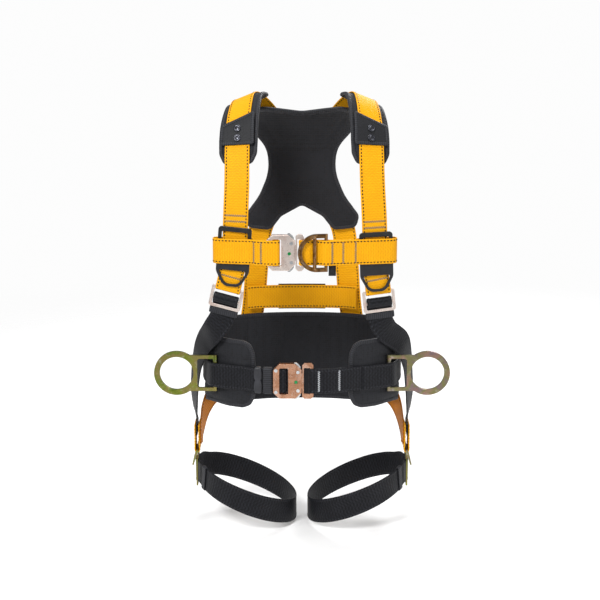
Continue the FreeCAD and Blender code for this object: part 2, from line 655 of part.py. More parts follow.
for side in (-1, 1):
    tag = names[side]
    # Torso adjuster: rectangular frame with two fixed bars and a loose bar between them.
    w, h = dim("adjusterWide") / 2, dim("adjusterTall") / 2
    plate("torso_adjuster_" + tag, [rounded([(-w, h), (w, h), (w, -h), (-w, -h)], 4.5),
                                    rounded([(-24, 15), (24, 15), (24, -14.5), (-24, -14.5)], 2)],
          "legPlate", adjust[side], edge=0.6)
    loose = rod("adjuster_bar_" + tag, 2.8, 46.6, 0, 0, 0, (1, 0, 0))
    drop2 = adjust[side].multVec(Vector(0, 0, -3.0))
    spin = adjust[side].Rotation.multiply(Rotation(Vector(0, 0, 1), Vector(1, 0, 0)))
    keep(loose, "torso_adjuster_bar_" + tag, Placement(drop2 - spin.multVec(Vector(0, 0, 23.3)), spin))

    # Parking slide: moulded frame with a rounded loop below for a stowed hook.
    slideLean = 4.5 if side < 0 else -2.0
    x = strapX[side] + 1.9
    w = 29.8
    outer = [(-w, 53), (w, 53), (w, -27), (15.5, -54), (-15.5, -54), (-w, -27)]
    hole = [(-23.5, -24.5), (23.5, -24.5), (23.5, -29.5), (12, -49.4), (-12, -49.4), (-23.5, -29.5)]
    window = [(-23.5, 44.5), (23.5, 44.5), (23.5, 28), (-23.5, 28)]
    n = Rotation(Vector(0, 0, 1), frontTurn[side]).multVec(Vector(0, -1, 0))
    spot = Vector(side * x, -101.2, 222.5 + drop[side]) + n * (thick / 2 + 0.5 + dim("slideThick") / 2)
    plate("parking_slide_" + tag, [rounded(outer, [6, 6, 15, 17, 17, 15]), rounded(hole, [3, 3, 7, 14, 14, 7]),
                                   rounded(window, 3)], "slideThick",
          put(spot.x, spot.y, spot.z, frontTurn[side], slideLean), edge=0.8)

    # Lower torso strap with its free tail, from the adjuster down to the hip.
    place = adjust[side]
    head = [(6.8, -37 if side < 0 else -33, 1, 0), (6.6, -32 if side < 0 else -29.5, 1, 0), (6.4, -26, 1, 0), (6.0, -15, 1, 0), (5.0, -6, 1, 0), (4.5, 1.0, 1, 0.1),
            (3.3, 4.4, 0.8, 0.8), (0, 5.8, 0, 1), (-3.3, 4.4, -0.8, 0.8), (-4.6, 1.0, -1, 0), (-4.7, -3.4, -1, -0.1),
            (-1.0, -10.2, -0.8, -0.6), (3.0, -13.9, -0.9, -0.35), (3.6, -20, -1, 0), (3.6, -36, -1, 0)]
    rows = fromFrame(place, head)
    e = 0.0 if side < 0 else 3.0
    down = [(160 if side < 0 else 152, -84.5, 84, 0.4, -0.9, 0), (180 + e, -54, 52, 0.78, -0.62, 0), (193 + e * 0.5, -30, 14, 0.9, -0.43, 0),
            (199, -13, -25, 0.93, -0.37, 0), (201.5, -2, -62, 0.94, -0.34, 0), (200.4, 4, -94, 0.98, -0.2, 0),
            (197.8, 6, -114, 1, 0, 0), (197.3, 6, -136, 1, 0, 0)]
    rows += pts(mirror(down, side))
    soft("torso_strap_" + tag, strap(rows, step=18))

    # Elastic keeper round the strap and its tail.
    ring = cut("keeper_body_" + tag, box("keeper_out_" + tag, 52.4, 12.2, 11, 0, 0, 0),
               box("keeper_in_" + tag, 49.2, 10.0, 20, 0, 0, 0))
    spot = place.multVec(Vector(0, 5.0, -26.8))
    keep(ring, "torso_keeper_" + tag, Placement(spot, place.Rotation))

# ---------------------------------------------------------------- back
plateY = 108.8
profile = [(118, 232), (106.4, 236), (102.4, 373), (91, 412), (72, 446), (56, 462), (30, 476)]
outlinePad = [(-70, 472), (-40, 468), (0, 462), (40, 468), (70, 472), (104, 466), (96, 430), (64, 392), (61, 345), (80, 300),
              (108, 262), (102, 240), (60, 236), (40, 262), (0, 284), (-40, 262), (-60, 236), (-102, 240), (-108, 262),
              (-80, 300), (-61, 345), (-64, 392), (-96, 430), (-104, 466)]


def prism(name, points, plane, length, radius=0.0):
    sketch = doc.addObject("Sketcher::SketchObject", name + "_sketch")
    if plane == "XZ":
        sketch.Placement = Placement(Vector(0, 0, 0), Rotation(Vector(1, 0, 0), 90))
        way = Vector(0, -1, 0)
    else:
        sketch.Placement = Placement(Vector(0, 0, 0), Rotation(Vector(1, 1, 1), 120))
        way = Vector(1, 0, 0)
    for shape in rounded(points, radius):
        sketch.addGeometry(shape, False)
    doc.recompute()
    e = doc.addObject("Part::Extrusion", name)
    e.Base = sketch
    e.DirMode = "Custom"
    e.Dir = way
    e.Solid = True
    e.Symmetric = True
    e.LengthFwd = length
    return e


backLine = [(107.2, 225), (106.6, 300), (106.6, 388), (96, 414), (78, 444), (60, 462), (34, 477)]
front = [(y - 9, z - (0 if z < 400 else 5)) for y, z in backLine]
slab = prism("yoke_slab", backLine + list(reversed(front)), "YZ", 300)
face = prism("yoke_face", outlinePad, "XZ", 400, 0.0)
yoke = doc.addObject("Part::Common", "dorsal_pad")
yoke.Base, yoke.Tool = face, slab
keep(yoke, "dorsal_pad")

# Dorsal plate: a four-cornered slotted plate that the two straps cross over.
w = 35.0
shape = [(-w, 26), (-25, 34), (25, 34), (w, 26), (w, -26), (25, -34), (-25, -34), (-w, -26)]
plate("dorsal_plate", [rounded(shape, 5)] + [circle(x, z, 2.6) for x in (-30, 30) for z in (-20, 20)],
      "tongueThick", put(0, plateY - 0.2, 373))
doc.getObject("dorsal_plate_pad").setExpression("Length", "dims.tongueThick * 0.9")

dOuter = [(-49.5, 0.1), (-49.5, -22), (-37.5, -62), (-20, -98), (20, -98), (37.5, -62), (49.5, -22), (49.5, 0.1)]
dSlot = [(-42.6, -0.1), (-42.6, -19), (-36.4, -33.6), (36.4, -33.6), (42.6, -19), (42.6, -0.1)]
dorsal = plate("dorsal_ring_frame", [rounded(dOuter, [0, 12, 20, 24, 24, 20, 12, 0]),
                                     rounded(dSlot, [0, 5, 5, 5, 5, 0]), circle(0, -64, 25.0)], "ringThick", None)
pieces.remove(dorsal)
dorsalRing = fuse("dorsal_ring", [dorsal, rod("dorsal_bar", 3.4, 99, 0, 0, 0, (1, 0, 0))])
keep(dorsalRing, "dorsal_ring", Placement(Vector(0, 113.8, 373), Rotation(Vector(1, 0, 0), 22)))

# Cross strap behind the lower back, with a plain cover over its middle.
rowsBack = [(-104, 91.6, 105, -0.45, 1, 0), (-80, 100, 105, -0.3, 1, 0), (-45, 104.5, 105, -0.1, 1, 0), (0, 106, 105, 0, 1, 0),
            (45, 104.5, 105, 0.1, 1, 0), (80, 100, 105, 0.3, 1, 0), (104, 91.6, 105, 0.45, 1, 0)]
soft("back_cross_strap", strap(pts(rowsBack), step=20))
soft("back_cross_cover", strap(pts(rowsBack[2:5]), width=web + 4, deep=1.6, step=20, offset=thick / 2 + 0.3 + 0.8))

# ---------------------------------------------------------------- hips and thighs
legX, legY, legZ = 197.0, 6.0, -165.0
insertX, thighZ, rise = 197.3, -243.1, 0.4
thighX, thighA, thighB = 102.5, 91.0, 88.0
for side in (-1, 1):
    tag = names[side]
    hip = [(112, 104.5, -51, 0.42, 1, 0), (150, 80, -62, 0.7, 0.7, 0), (176, 52, -84, 0.88, 0.45, 0), (187, 30, -114, 0.97, 0.2, 0),
           (190.2, 13, -140, 1, 0.05, 0), (190.4, 8, -158, 1, 0, 0)]
    soft("hip_strap_" + tag, strap(pts(mirror(hip, side)), step=16))
    turn = 4.25
    loop = [(legX + 4.1, legY, -116, 1, 0, 0), (legX + 4.1, legY, -146, 1, 0, 0), (legX + turn, legY, -161, 1, 0, 0),
            (legX + turn, legY, legZ, 1, 0, 0), (legX + turn * 0.7, legY, legZ - turn * 0.7, 1, 0, -1),
            (legX, legY, legZ - turn, 0, 0, -1), (legX - turn * 0.7, legY, legZ - turn * 0.7, -1, 0, -1),
            (legX - turn, legY, legZ, -1, 0, 0), (legX - turn, legY, -161, -1, 0, 0),
            (legX - 3.5, legY, -146, -1, 0, 0), (legX - 3.5, legY, -116, -1, 0, 0)]
    soft("leg_loop_" + tag, strap(pts(mirror(loop, side)), width=43, step=18))
    # Upper plate of the leg buckle hangs in the loop on a round bar and laps over the lower one.
    face = 90.0 * side
    blank = plate("leg_plate_" + tag, [rounded([(-30, 1.8), (30, 1.8), (30, -29), (-30, -29)], [0, 0, 5, 5]),
                                       rounded([(-24, -1.8), (24, -1.8), (24, -22.5), (-24, -22.5)], [0, 0, 2, 2])],
                  "legPlate", None, edge=0.0)
    pieces.remove(blank)
    frame = fuse("leg_buckle_frame_" + tag, [blank, rod("leg_bar_" + tag, 2.4, 60, 0, 0, 0, (1, 0, 0))])
    spin = Rotation(Vector(0, 0, 1), face).multiply(Rotation(Vector(1, 0, 0), -17))
    keep(frame, "leg_buckle_frame_" + tag, Placement(Vector(side * legX, legY, legZ), spin))
    # Lower plate: the thigh strap is threaded through its two windows, over the middle bar.
    windows = [rounded([(x0, 23), (x1, 23), (x1, -23), (x0, -23)], 1.5) for x0, x1 in ((-24.5, -3.5), (3.5, 24.5))]
    plate("leg_buckle_insert_" + tag, [rounded([(-30, 27), (30, 27), (30, -27), (-30, -27)], 5)] + windows,
          "legPlate", put(side * insertX, legY, -206.5, face), edge=0.5)
    # Thigh strap: a closed loop on an upright thigh, rising towards the hip.
    rows = []
    over = [(-27, 191.6), (-18, 194.0), (-9, 199.6), (-3.5, 200.3), (3.5, 200.3), (9, 199.6), (18, 194.0), (27, 190.6)]
    for y, x in over:
        lean = {-27: -0.15, -18: -0.5, -9: -0.5, 9: 0.5, 18: 0.5, 27: 0.2}.get(y, 0.0)
        rows.append((x, legY + y, thighZ + rise * 91.0, 1.0, lean, 0))
    for k in range(2, 23):
        t = 2 * math.pi * k / 24
        dx, dy = thighA * math.cos(t), thighB * math.sin(t)
        rows.append((thighX + dx, 2.0 + dy, thighZ + rise * dx, math.cos(t) / thighA, math.sin(t) / thighB, 0))
    soft("leg_strap_" + tag, strap(pts(mirror(rows, side)), step=40, closed=True))
    # Keeper on the thigh strap in front of the buckle.
    t = math.radians(-29)
    dx, dy = thighA * math.cos(t), thighB * math.sin(t)
    hold = cut("thigh_keeper_body_" + tag, box("thigh_keeper_out_" + tag, 12, 6.2, 49.5, 0, 0, 0),
               box("thigh_keeper_in_" + tag, 15, 4.0, 46.2, 0, 0, 0))
    facing = math.degrees(math.atan2(math.cos(t) / thighA, -math.sin(t) / thighB))
    keep(hold, "leg_keeper_" + tag, put(side * (thighX + dx), 2.0 + dy, thighZ + rise * dx, side * facing, side * -9.5))

# ---------------------------------------------------------------- checks and export
doc.recompute()
for obj in doc.Objects:
    if "Invalid" in obj.State or "Error" in obj.State:
        raise RuntimeError("failed object: " + obj.Name)
labels = [p.Label for p in pieces]
assert len(set(labels)) == len(labels), "two pieces share a label"
for p in pieces:
    shape = p.Shape
    if shape.isNull() or not shape.isValid():
        raise RuntimeError("bad shape: " + p.Label)
    if shape.Volume <= 0 or not shape.Solids:
        raise RuntimeError("no solid: " + p.Label)
    if any(not s.isClosed() for s in shape.Shells):
        raise RuntimeError("open shell: " + p.Label)
    shape.exportStep("parts/%s.step" % p.Label)
print("pieces", len(pieces))
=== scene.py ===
import math

import bpy
import numpy as np
from mathutils import Matrix, Vector, geometry, noise


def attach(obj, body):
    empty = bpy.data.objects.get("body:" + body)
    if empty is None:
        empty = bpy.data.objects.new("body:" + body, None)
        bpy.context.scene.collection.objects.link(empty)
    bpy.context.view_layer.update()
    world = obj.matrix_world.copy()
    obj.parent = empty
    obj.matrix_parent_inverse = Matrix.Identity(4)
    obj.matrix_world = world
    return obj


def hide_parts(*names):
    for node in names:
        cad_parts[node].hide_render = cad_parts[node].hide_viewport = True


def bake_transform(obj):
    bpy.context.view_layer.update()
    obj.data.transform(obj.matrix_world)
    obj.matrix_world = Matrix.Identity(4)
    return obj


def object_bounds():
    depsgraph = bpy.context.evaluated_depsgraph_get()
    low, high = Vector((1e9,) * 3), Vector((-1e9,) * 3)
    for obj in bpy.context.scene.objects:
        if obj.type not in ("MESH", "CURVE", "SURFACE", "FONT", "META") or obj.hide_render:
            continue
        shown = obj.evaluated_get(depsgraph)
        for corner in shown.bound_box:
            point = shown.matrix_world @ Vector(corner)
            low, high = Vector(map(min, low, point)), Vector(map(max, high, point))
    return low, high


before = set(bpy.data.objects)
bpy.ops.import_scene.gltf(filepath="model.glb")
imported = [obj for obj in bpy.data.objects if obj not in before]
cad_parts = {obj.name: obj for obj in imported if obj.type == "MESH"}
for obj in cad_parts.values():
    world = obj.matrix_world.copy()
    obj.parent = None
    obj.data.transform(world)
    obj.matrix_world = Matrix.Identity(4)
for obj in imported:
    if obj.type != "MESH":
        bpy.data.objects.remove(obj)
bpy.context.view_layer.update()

mm = 0.001  # shapes are worked out in millimetres and stored in metres
sideName = {-1: "right", 1: "left"}  # the wearer's own sides
print("frame loaded", len(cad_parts), "nodes")

# camera, at eye height a little above the chest
view = {"lens": 88, "width": 1110, "aim": (-3.7, 0, 121), "elevation": 12.5}
cameraData = bpy.data.cameras.new("camera")
cameraData.lens = view["lens"]
cameraData.sensor_width = 36
cameraData.clip_end = 60
camera = bpy.data.objects.new("camera", cameraData)
bpy.context.scene.collection.objects.link(camera)
away = view["lens"] * view["width"] / 36 * mm
tip = math.radians(view["elevation"])
aim = Vector(view["aim"]) * mm
camera.location = aim + Vector((0, -math.cos(tip), math.sin(tip))) * away
camera.rotation_euler = (aim - camera.location).to_track_quat("-Z", "Y").to_euler()
bpy.context.scene.camera = camera


# materials
def linear(hexColour):
    parts = [int(hexColour[i:i + 2], 16) / 255 for i in (1, 3, 5)]
    return tuple(c / 12.92 if c <= 0.04045 else ((c + 0.055) / 1.055) ** 2.4 for c in parts) + (1,)


# kind is the node's type; settings are its properties, "stops" a ramp's (place, hex) pairs; links feed its
# inputs by name or by i and number
def addNode(tree, kind, settings=None, **links):
    node = tree.nodes.new(kind)
    for key, value in (settings or {}).items():
        if key == "stops":
            while len(node.color_ramp.elements) < len(value):
                node.color_ramp.elements.new(0.5)
            for element, (place, colour) in zip(node.color_ramp.elements, value):
                element.position, element.color = place, linear(colour)
        else:
            setattr(node, key, value)
    for key, value in links.items():
        numbered = key[0] == "i" and key[1:].isdigit()
        socket = node.inputs[int(key[1:])] if numbered else node.inputs[key.replace("_", " ")]
        if isinstance(value, bpy.types.NodeSocket):
            tree.links.new(value, socket)
        else:
            socket.default_value = value
    return node


def startMaterial(name, **shader):
    material = bpy.data.materials.new(name)
    material.use_nodes = True
    tree = material.node_tree
    bsdf = tree.nodes["Principled BSDF"]
    for key, value in shader.items():
        bsdf.inputs[key.replace("_", " ")].default_value = value
    return material, tree, bsdf


def bandScale(pitch):
    return 2 * math.pi / 20 / (pitch * mm)  # wave texture: one band every pitch millimetres


def grainScale(size):
    return 1 / (size * mm)  # noise and cell textures: one grain every size millimetres


def wovenWebbing(name, light, dark, worn, pitch=4.4, sheen=0.04, rough=0.6, depth=0.62):
    # Polyester webbing, woven on a narrow loom: crosswise ribs of weft under long warp threads, a soft sheen.
    # Real ribs are 1.2 mm apart and the herringbone turns every 1.5 mm; both are drawn about four times as
    # coarse so that they show.
    material, tree, bsdf = startMaterial(name, Roughness=rough, Sheen_Weight=sheen, Sheen_Roughness=0.45,
                                         Specular_IOR_Level=0.16)
    uv = addNode(tree, "ShaderNodeUVMap", {"uv_map": "strap"}).outputs[0]
    across = addNode(tree, "ShaderNodeSeparateXYZ", Vector=uv)
    weft = addNode(tree, "ShaderNodeTexWave", {"bands_direction": "Y"}, Vector=uv, Scale=bandScale(pitch),
                   Distortion=0.6, Detail=1.0, Detail_Scale=4.0).outputs["Fac"]
    warp = addNode(tree, "ShaderNodeTexWave", {"bands_direction": "X"}, Vector=uv,
                   Scale=bandScale(pitch * 0.5)).outputs["Fac"]
    # a slow herringbone: the diagonal turns back every quarter of the 45 mm width
    fold = addNode(tree, "ShaderNodeMath", {"operation": "PINGPONG"}, i0=across.outputs[0],
                   i1=11.25 * mm).outputs[0]
    slant = addNode(tree, "ShaderNodeMath", {"operation": "ADD"}, i0=fold, i1=across.outputs[1]).outputs[0]
    twill = addNode(tree, "ShaderNodeMath", {"operation": "MULTIPLY"}, i0=slant,
                    i1=2 * math.pi / (pitch * 1.4 * mm)).outputs[0]
    twill = addNode(tree, "ShaderNodeMath", {"operation": "SINE"}, i0=twill).outputs[0]
    threads = addNode(tree, "ShaderNodeMath", {"operation": "MULTIPLY"}, i0=weft, i1=warp).outputs[0]
    height = addNode(tree, "ShaderNodeMath", {"operation": "MULTIPLY_ADD"}, i0=twill, i1=0.22,
                     i2=threads).outputs[0]
    # handling marks about a thumb wide, 26 mm
    soil = addNode(tree, "ShaderNodeTexNoise", Vector=uv, Scale=grainScale(26), Detail=5.0,
                   Roughness=0.65).outputs["Fac"]
    ground = addNode(tree, "ShaderNodeValToRGB", {"stops": ((0.3, light), (0.72, worn))}, Fac=soil).outputs[0]
    # the low parts of the weave are painted toward the dark colour, further as depth rises: painted shade in
    # the recesses between the threads
    recessShade = addNode(tree, "ShaderNodeMapRange", Value=height, From_Min=-0.1, From_Max=0.75, To_Min=depth,
                      To_Max=0.0).outputs[0]
    colour = addNode(tree, "ShaderNodeMix", {"data_type": "RGBA"}, Factor=recessShade, i6=ground, i7=linear(dark))
    tree.links.new(colour.outputs[2], bsdf.inputs["Base Color"])
    bump = addNode(tree, "ShaderNodeBump", Height=height, Strength=0.6, Distance=0.45 * mm)
    tree.links.new(bump.outputs[0], bsdf.inputs["Normal"])
    return material


def padCloth(name, light, dark, cell=4.2, rough=0.72, sheen=0.05):
    # Polyester mesh cloth, knitted and laminated on foam: fine round cells whose rims are painted a soft
    # grey, a painted highlight.
    # Real cells are 1.5 mm across; drawn about three times as wide so that they show.
    material, tree, bsdf = startMaterial(name, Roughness=rough, Sheen_Weight=sheen, Sheen_Roughness=0.5,
                                         Specular_IOR_Level=0.3)
    place = addNode(tree, "ShaderNodeTexCoord").outputs["Object"]
    cells = addNode(tree, "ShaderNodeTexVoronoi", {"feature": "F1"}, Vector=place, Scale=grainScale(cell),
                    Randomness=0.3).outputs["Distance"]
    # lint and pressed patches, 16 mm
    lint = addNode(tree, "ShaderNodeTexNoise", Vector=place, Scale=grainScale(16), Detail=6.0,
                   Roughness=0.6).outputs["Fac"]
    mixed = addNode(tree, "ShaderNodeMath", {"operation": "MULTIPLY_ADD"}, i0=lint, i1=0.9,
                    i2=cells).outputs[0]
    # the cell rims are painted lighter than the cell middles as a painted highlight; the lint patches mixed
    # in are real tone
    tint = addNode(tree, "ShaderNodeValToRGB", {"stops": ((0.35, dark), (0.95, light))}, Fac=mixed).outputs[0]
    tree.links.new(tint, bsdf.inputs["Base Color"])
    bump = addNode(tree, "ShaderNodeBump", Height=cells, Strength=0.6, Distance=0.7 * mm)
    soft = addNode(tree, "ShaderNodeBump", Height=lint, Strength=0.3, Distance=1.6 * mm,
                   Normal=bump.outputs[0])
    tree.links.new(soft.outputs[0], bsdf.inputs["Normal"])
    return material


def ribbedTape(name, light, dark, pitch=3.6, direction="Y", rough=0.62):
    # Grosgrain or elastic tape, woven: close crosswise ribs, each crest painted lighter, a painted glint in
    # rows.
    # Real ribs are 1.2 mm apart; drawn three times as coarse so that they show.
    material, tree, bsdf = startMaterial(name, Roughness=rough, Sheen_Weight=0.06, Sheen_Roughness=0.4,
                                         Specular_IOR_Level=0.35)
    uv = addNode(tree, "ShaderNodeUVMap", {"uv_map": "strap"}).outputs[0]
    rib = addNode(tree, "ShaderNodeTexWave", {"bands_direction": direction}, Vector=uv,
                  Scale=bandScale(pitch),
                  Distortion=0.4, Detail=1.0, Detail_Scale=3.0).outputs["Fac"]
    lint = addNode(tree, "ShaderNodeTexNoise", Vector=uv, Scale=grainScale(11),
                   Detail=4.0).outputs["Fac"]  # rubbed patches, 11 mm
    mixed = addNode(tree, "ShaderNodeMath", {"operation": "MULTIPLY_ADD"}, i0=lint, i1=0.5, i2=rib).outputs[0]
    # rib crests painted lighter than the troughs as a painted highlight; the rubbed patches are real wear
    tint = addNode(tree, "ShaderNodeValToRGB", {"stops": ((0.2, dark), (0.9, light))}, Fac=mixed).outputs[0]
    tree.links.new(tint, bsdf.inputs["Base Color"])
    bump = addNode(tree, "ShaderNodeBump", Height=rib, Strength=0.6, Distance=0.4 * mm)
    tree.links.new(bump.outputs[0], bsdf.inputs["Normal"])
    return material


def spunThread(name, light, dark, rough=0.55):
    # Bonded polyester sewing thread, twisted: slightly waxy, with painted shade darkening it between the
    # plies. Plies are 0.4 mm apart; drawn at 1.1 mm to show.
    material, tree, bsdf = startMaterial(name, Roughness=rough, Specular_IOR_Level=0.25)
    place = addNode(tree, "ShaderNodeTexCoord").outputs["Object"]
    ply = addNode(tree, "ShaderNodeTexNoise", Vector=place, Scale=grainScale(1.1), Detail=2.0).outputs["Fac"]
    # the dark colour of the ply noise stands for painted shade between the plies
    tint = addNode(tree, "ShaderNodeValToRGB", {"stops": ((0.3, dark), (0.7, light))}, Fac=ply).outputs[0]
    tree.links.new(tint, bsdf.inputs["Base Color"])
    return material


def platedSteel(name, tints, rough=0.3, patch=36.0, grain=0.3):
    # Forged steel, zinc plated and passivated: thin-film tints that drift over the surface every 20 to 36
    # mm, a dull glint.
    # Tumbling marks are 0.5 mm long; drawn at 2.4 mm so that they show.
    material, tree, bsdf = startMaterial(name, Metallic=1.0)
    place = addNode(tree, "ShaderNodeTexCoord").outputs["Object"]
    drift = addNode(tree, "ShaderNodeTexNoise", Vector=place, Scale=grainScale(patch), Detail=3.0,
                    Roughness=0.55, Distortion=0.4).outputs["Fac"]
    spread = addNode(tree, "ShaderNodeMapRange", Value=drift, From_Min=0.3, From_Max=0.7).outputs[0]
    marks = addNode(tree, "ShaderNodeTexNoise", Vector=place, Scale=grainScale(2.4), Detail=5.0,
                    Roughness=0.7).outputs["Fac"]
    stops = [(i / max(1, len(tints) - 1), tint) for i, tint in enumerate(tints)]
    tint = addNode(tree, "ShaderNodeValToRGB", {"stops": stops}, Fac=spread).outputs[0]
    # plating rubbed pale where it is handled, in streaks 9 mm long
    rubbed = addNode(tree, "ShaderNodeTexNoise", Vector=place, Scale=grainScale(9), Detail=6.0, Roughness=0.7,
                     Distortion=0.8).outputs["Fac"]
    worn = addNode(tree, "ShaderNodeMapRange", Value=rubbed, From_Min=0.56, From_Max=0.76,
                   To_Max=0.5).outputs[0]
    colour = addNode(tree, "ShaderNodeMix", {"data_type": "RGBA"}, Factor=worn, i6=tint, i7=linear("#D0CCC4"))
    tree.links.new(colour.outputs[2], bsdf.inputs["Base Color"])
    gloss = addNode(tree, "ShaderNodeMapRange", Value=marks, From_Min=0.3, From_Max=0.75, To_Min=rough - 0.07,
                    To_Max=rough + 0.14).outputs[0]
    tree.links.new(gloss, bsdf.inputs["Roughness"])
    bump = addNode(tree, "ShaderNodeBump", Height=marks, Strength=grain, Distance=0.12 * mm)
    tree.links.new(bump.outputs[0], bsdf.inputs["Normal"])
    return material


def mouldedPlastic(name, light, dark, rough=0.4):
    # Nylon, injection moulded in a spark-eroded tool: fine even grain, a wide soft highlight.
    # The grain is 0.1 mm; drawn at 0.8 mm so that it shows. Rubbed patches are 18 mm.
    material, tree, bsdf = startMaterial(name, IOR=1.53, Specular_IOR_Level=0.45)
    place = addNode(tree, "ShaderNodeTexCoord").outputs["Object"]
    grain = addNode(tree, "ShaderNodeTexNoise", Vector=place, Scale=grainScale(0.8),
                    Detail=3.0).outputs["Fac"]
    rub = addNode(tree, "ShaderNodeTexNoise", Vector=place, Scale=grainScale(18), Detail=5.0,
                  Roughness=0.6).outputs["Fac"]
    tint = addNode(tree, "ShaderNodeValToRGB", {"stops": ((0.35, dark), (0.75, light))}, Fac=rub).outputs[0]
    tree.links.new(tint, bsdf.inputs["Base Color"])
    gloss = addNode(tree, "ShaderNodeMapRange", Value=rub, To_Min=rough - 0.08,
                    To_Max=rough + 0.12).outputs[0]
    tree.links.new(gloss, bsdf.inputs["Roughness"])
    bump = addNode(tree, "ShaderNodeBump", Height=grain, Strength=0.3, Distance=0.08 * mm)
    tree.links.new(bump.outputs[0], bsdf.inputs["Normal"])
    return material


finish = {
    # each webbing's second colour is painted shade, laid into the low parts of its weave
    "yellowWebbing": wovenWebbing("polyesterWebbing_woven_yellow", "#F0AE00", "#C98400", "#E8A400"),
    "orangeWebbing": wovenWebbing("polyesterWebbing_woven_orange", "#D8820A", "#985402", "#C87804"),
    "blackWebbing": wovenWebbing("polyesterWebbing_woven_black", "#24252B", "#040405", "#191A1F", pitch=5.6,
                                 rough=0.5, sheen=0.02, depth=0.85),
    "padCloth": padCloth("polyesterMesh_knitted_black", "#17181D", "#030304"),
    "flapCloth": padCloth("polyesterPlain_woven_black", "#131418", "#050507", cell=2.6, rough=0.6),
    "tape": ribbedTape("grosgrainTape_woven_black", "#26272D", "#08080A"),
    "elastic": ribbedTape("elasticTape_woven_black", "#26272D", "#08080A", direction="X"),
    "darkThread": spunThread("polyesterThread_twisted_maroon", "#1C0A06", "#070303"),
    "greyThread": spunThread("polyesterThread_twisted_grey", "#7B7C78", "#3A3B39"),
    "whiteThread": spunThread("polyesterThread_twisted_white", "#C9CCD0", "#8A8E92"),
    "blackThread": spunThread("polyesterThread_twisted_black", "#2C2D33", "#101014"),
    "yellowZinc": platedSteel("zincPlate_passivated_yellow", ("#5F6E26", "#7B8236", "#86794A", "#6C7A32",
            "#8C8A52"), rough=0.3),
    "mauveZinc": platedSteel("zincPlate_passivated_mauve", ("#8E6E68", "#80706E", "#7C7A50", "#96786A",
            "#7A6C72"), rough=0.3),
    "roseZinc": platedSteel("zincPlate_passivated_rose", ("#B58468", "#C29378", "#A8785C", "#CCA28C"),
                            rough=0.27),
    "paleZinc": platedSteel("zincPlate_passivated_pale", ("#E6CFC4", "#EBDCD4", "#F1E2D9", "#DCC2B6"),
                            rough=0.3),
    "bronzeZinc": platedSteel("zincPlate_passivated_bronze", ("#6B4A22", "#80592B", "#94704A", "#5E4020",
            "#A58068"), rough=0.32, patch=22),
    "brightSteel": platedSteel("steel_tumbled_bright", ("#C9CBCC", "#D8D9DA", "#BFC2C4"), rough=0.22),
    "gunmetal": platedSteel("brass_blackened_polished", ("#3C3D43", "#4B4C52", "#57575D"), rough=0.3,
                            grain=0.08),
    "moulded": mouldedPlastic("nylon_moulded_black", "#1B1C21", "#0B0C0E"),
    "keeperRubber": mouldedPlastic("elastomer_moulded_black", "#2C2D34", "#18191D", rough=0.5),
    "greenEnamel": mouldedPlastic("enamel_sprayed_green", "#1E8A45", "#14763A", rough=0.3),
}
print("materials", len(finish))


# paths, the same ones that the hard pieces were laid out on
# straight mix of p at start and q at end
def between(p, q, start, end, t):
    return p * ((end - t) / (end - start)) + q * ((t - start) / (end - start))


# Centripetal curve through (point, normal) pairs.
def curvePath(points, step=5.0, closed=False):
    n = len(points)

    def item(i):
        if closed:
            return points[i % n]
        if i < 0:
            return (points[0][0] * 2 - points[1][0], points[0][1])
        if i >= n:
            return (points[-1][0] * 2 - points[-2][0], points[-1][1])
        return points[i]

    row = []
    for i in range(n if closed else n - 1):
        p = [item(i + k)[0] for k in (-1, 0, 1, 2)]
        knots = [0.0]
        for k in range(3):
            knots.append(knots[-1] + max((p[k + 1] - p[k]).length, 1e-3) ** 0.5)
        turn = (p[2] - p[1]).angle(p[3] - p[2], 0) + (p[1] - p[0]).angle(p[2] - p[1], 0)
        cuts = max(1, round((p[2] - p[1]).length / step), min(5, round(turn / 0.3)))
        for c in range(cuts):
            t = knots[1] + (knots[2] - knots[1]) * c / cuts
            a = [between(p[k], p[k + 1], knots[k], knots[k + 1], t) for k in range(3)]
            b = [between(a[k], a[k + 1], knots[k], knots[k + 2], t) for k in range(2)]
            spot = between(b[0], b[1], knots[1], knots[2], t)
            w = c / cuts
            row.append((spot, item(i)[1] * (1 - w) + item(i + 1)[1] * w))
    if not closed:
        row.append(points[-1])
    return row


# Rows of (point, along, across, out, travelled) along a strap.
def stationsOf(points, step=5.0, closed=False, offset=0.0):
    row = curvePath(points, step, closed)
    count, stations, travelled = len(row), [], 0.0
    for i, (p, normal) in enumerate(row):
        before = row[i - 1][0] if (i or closed) else p
        after = row[(i + 1) % count][0] if (i < count - 1 or closed) else p
        along = (after - before).normalized()
        across = along.cross(normal).normalized()
        out = across.cross(along)
        if i:
            travelled += (p - row[i - 1][0]).length
        stations.append((p + out * offset, along, across, out, travelled))
    return stations


def pts(rows):
    return [(Vector(r[:3]), Vector(r[3:]).normalized()) for r in rows]


def mirror(rows, side):
    return [(side * r[0], r[1], r[2], side * r[3], r[4], r[5]) for r in rows]


# the wearer's outline at the waist, a rounded oval entered by angle from the side
form = {"halfWidth": 172.0, "halfDepth": 108.0, "squareness": 2.3}


def waist(angle, off, z=0.0, side=1):
    a, b, n = form["halfWidth"], form["halfDepth"], form["squareness"]
    t = math.radians(angle)
    c, s = math.cos(t), math.sin(t)
    x = math.copysign(abs(c) ** (2 / n) * a, c)
    y = -math.copysign(abs(s) ** (2 / n) * b, s)
    normal = Vector((math.copysign((abs(x) / a) ** (n - 1) / a, x), math.copysign((abs(y) / b) ** (n - 1) / b,
            y), 0)).normalized()
    x, y = x + normal.x * off, y + normal.y * off
    return (Vector((side * x, y, z)), Vector((side * normal.x, normal.y, 0)))


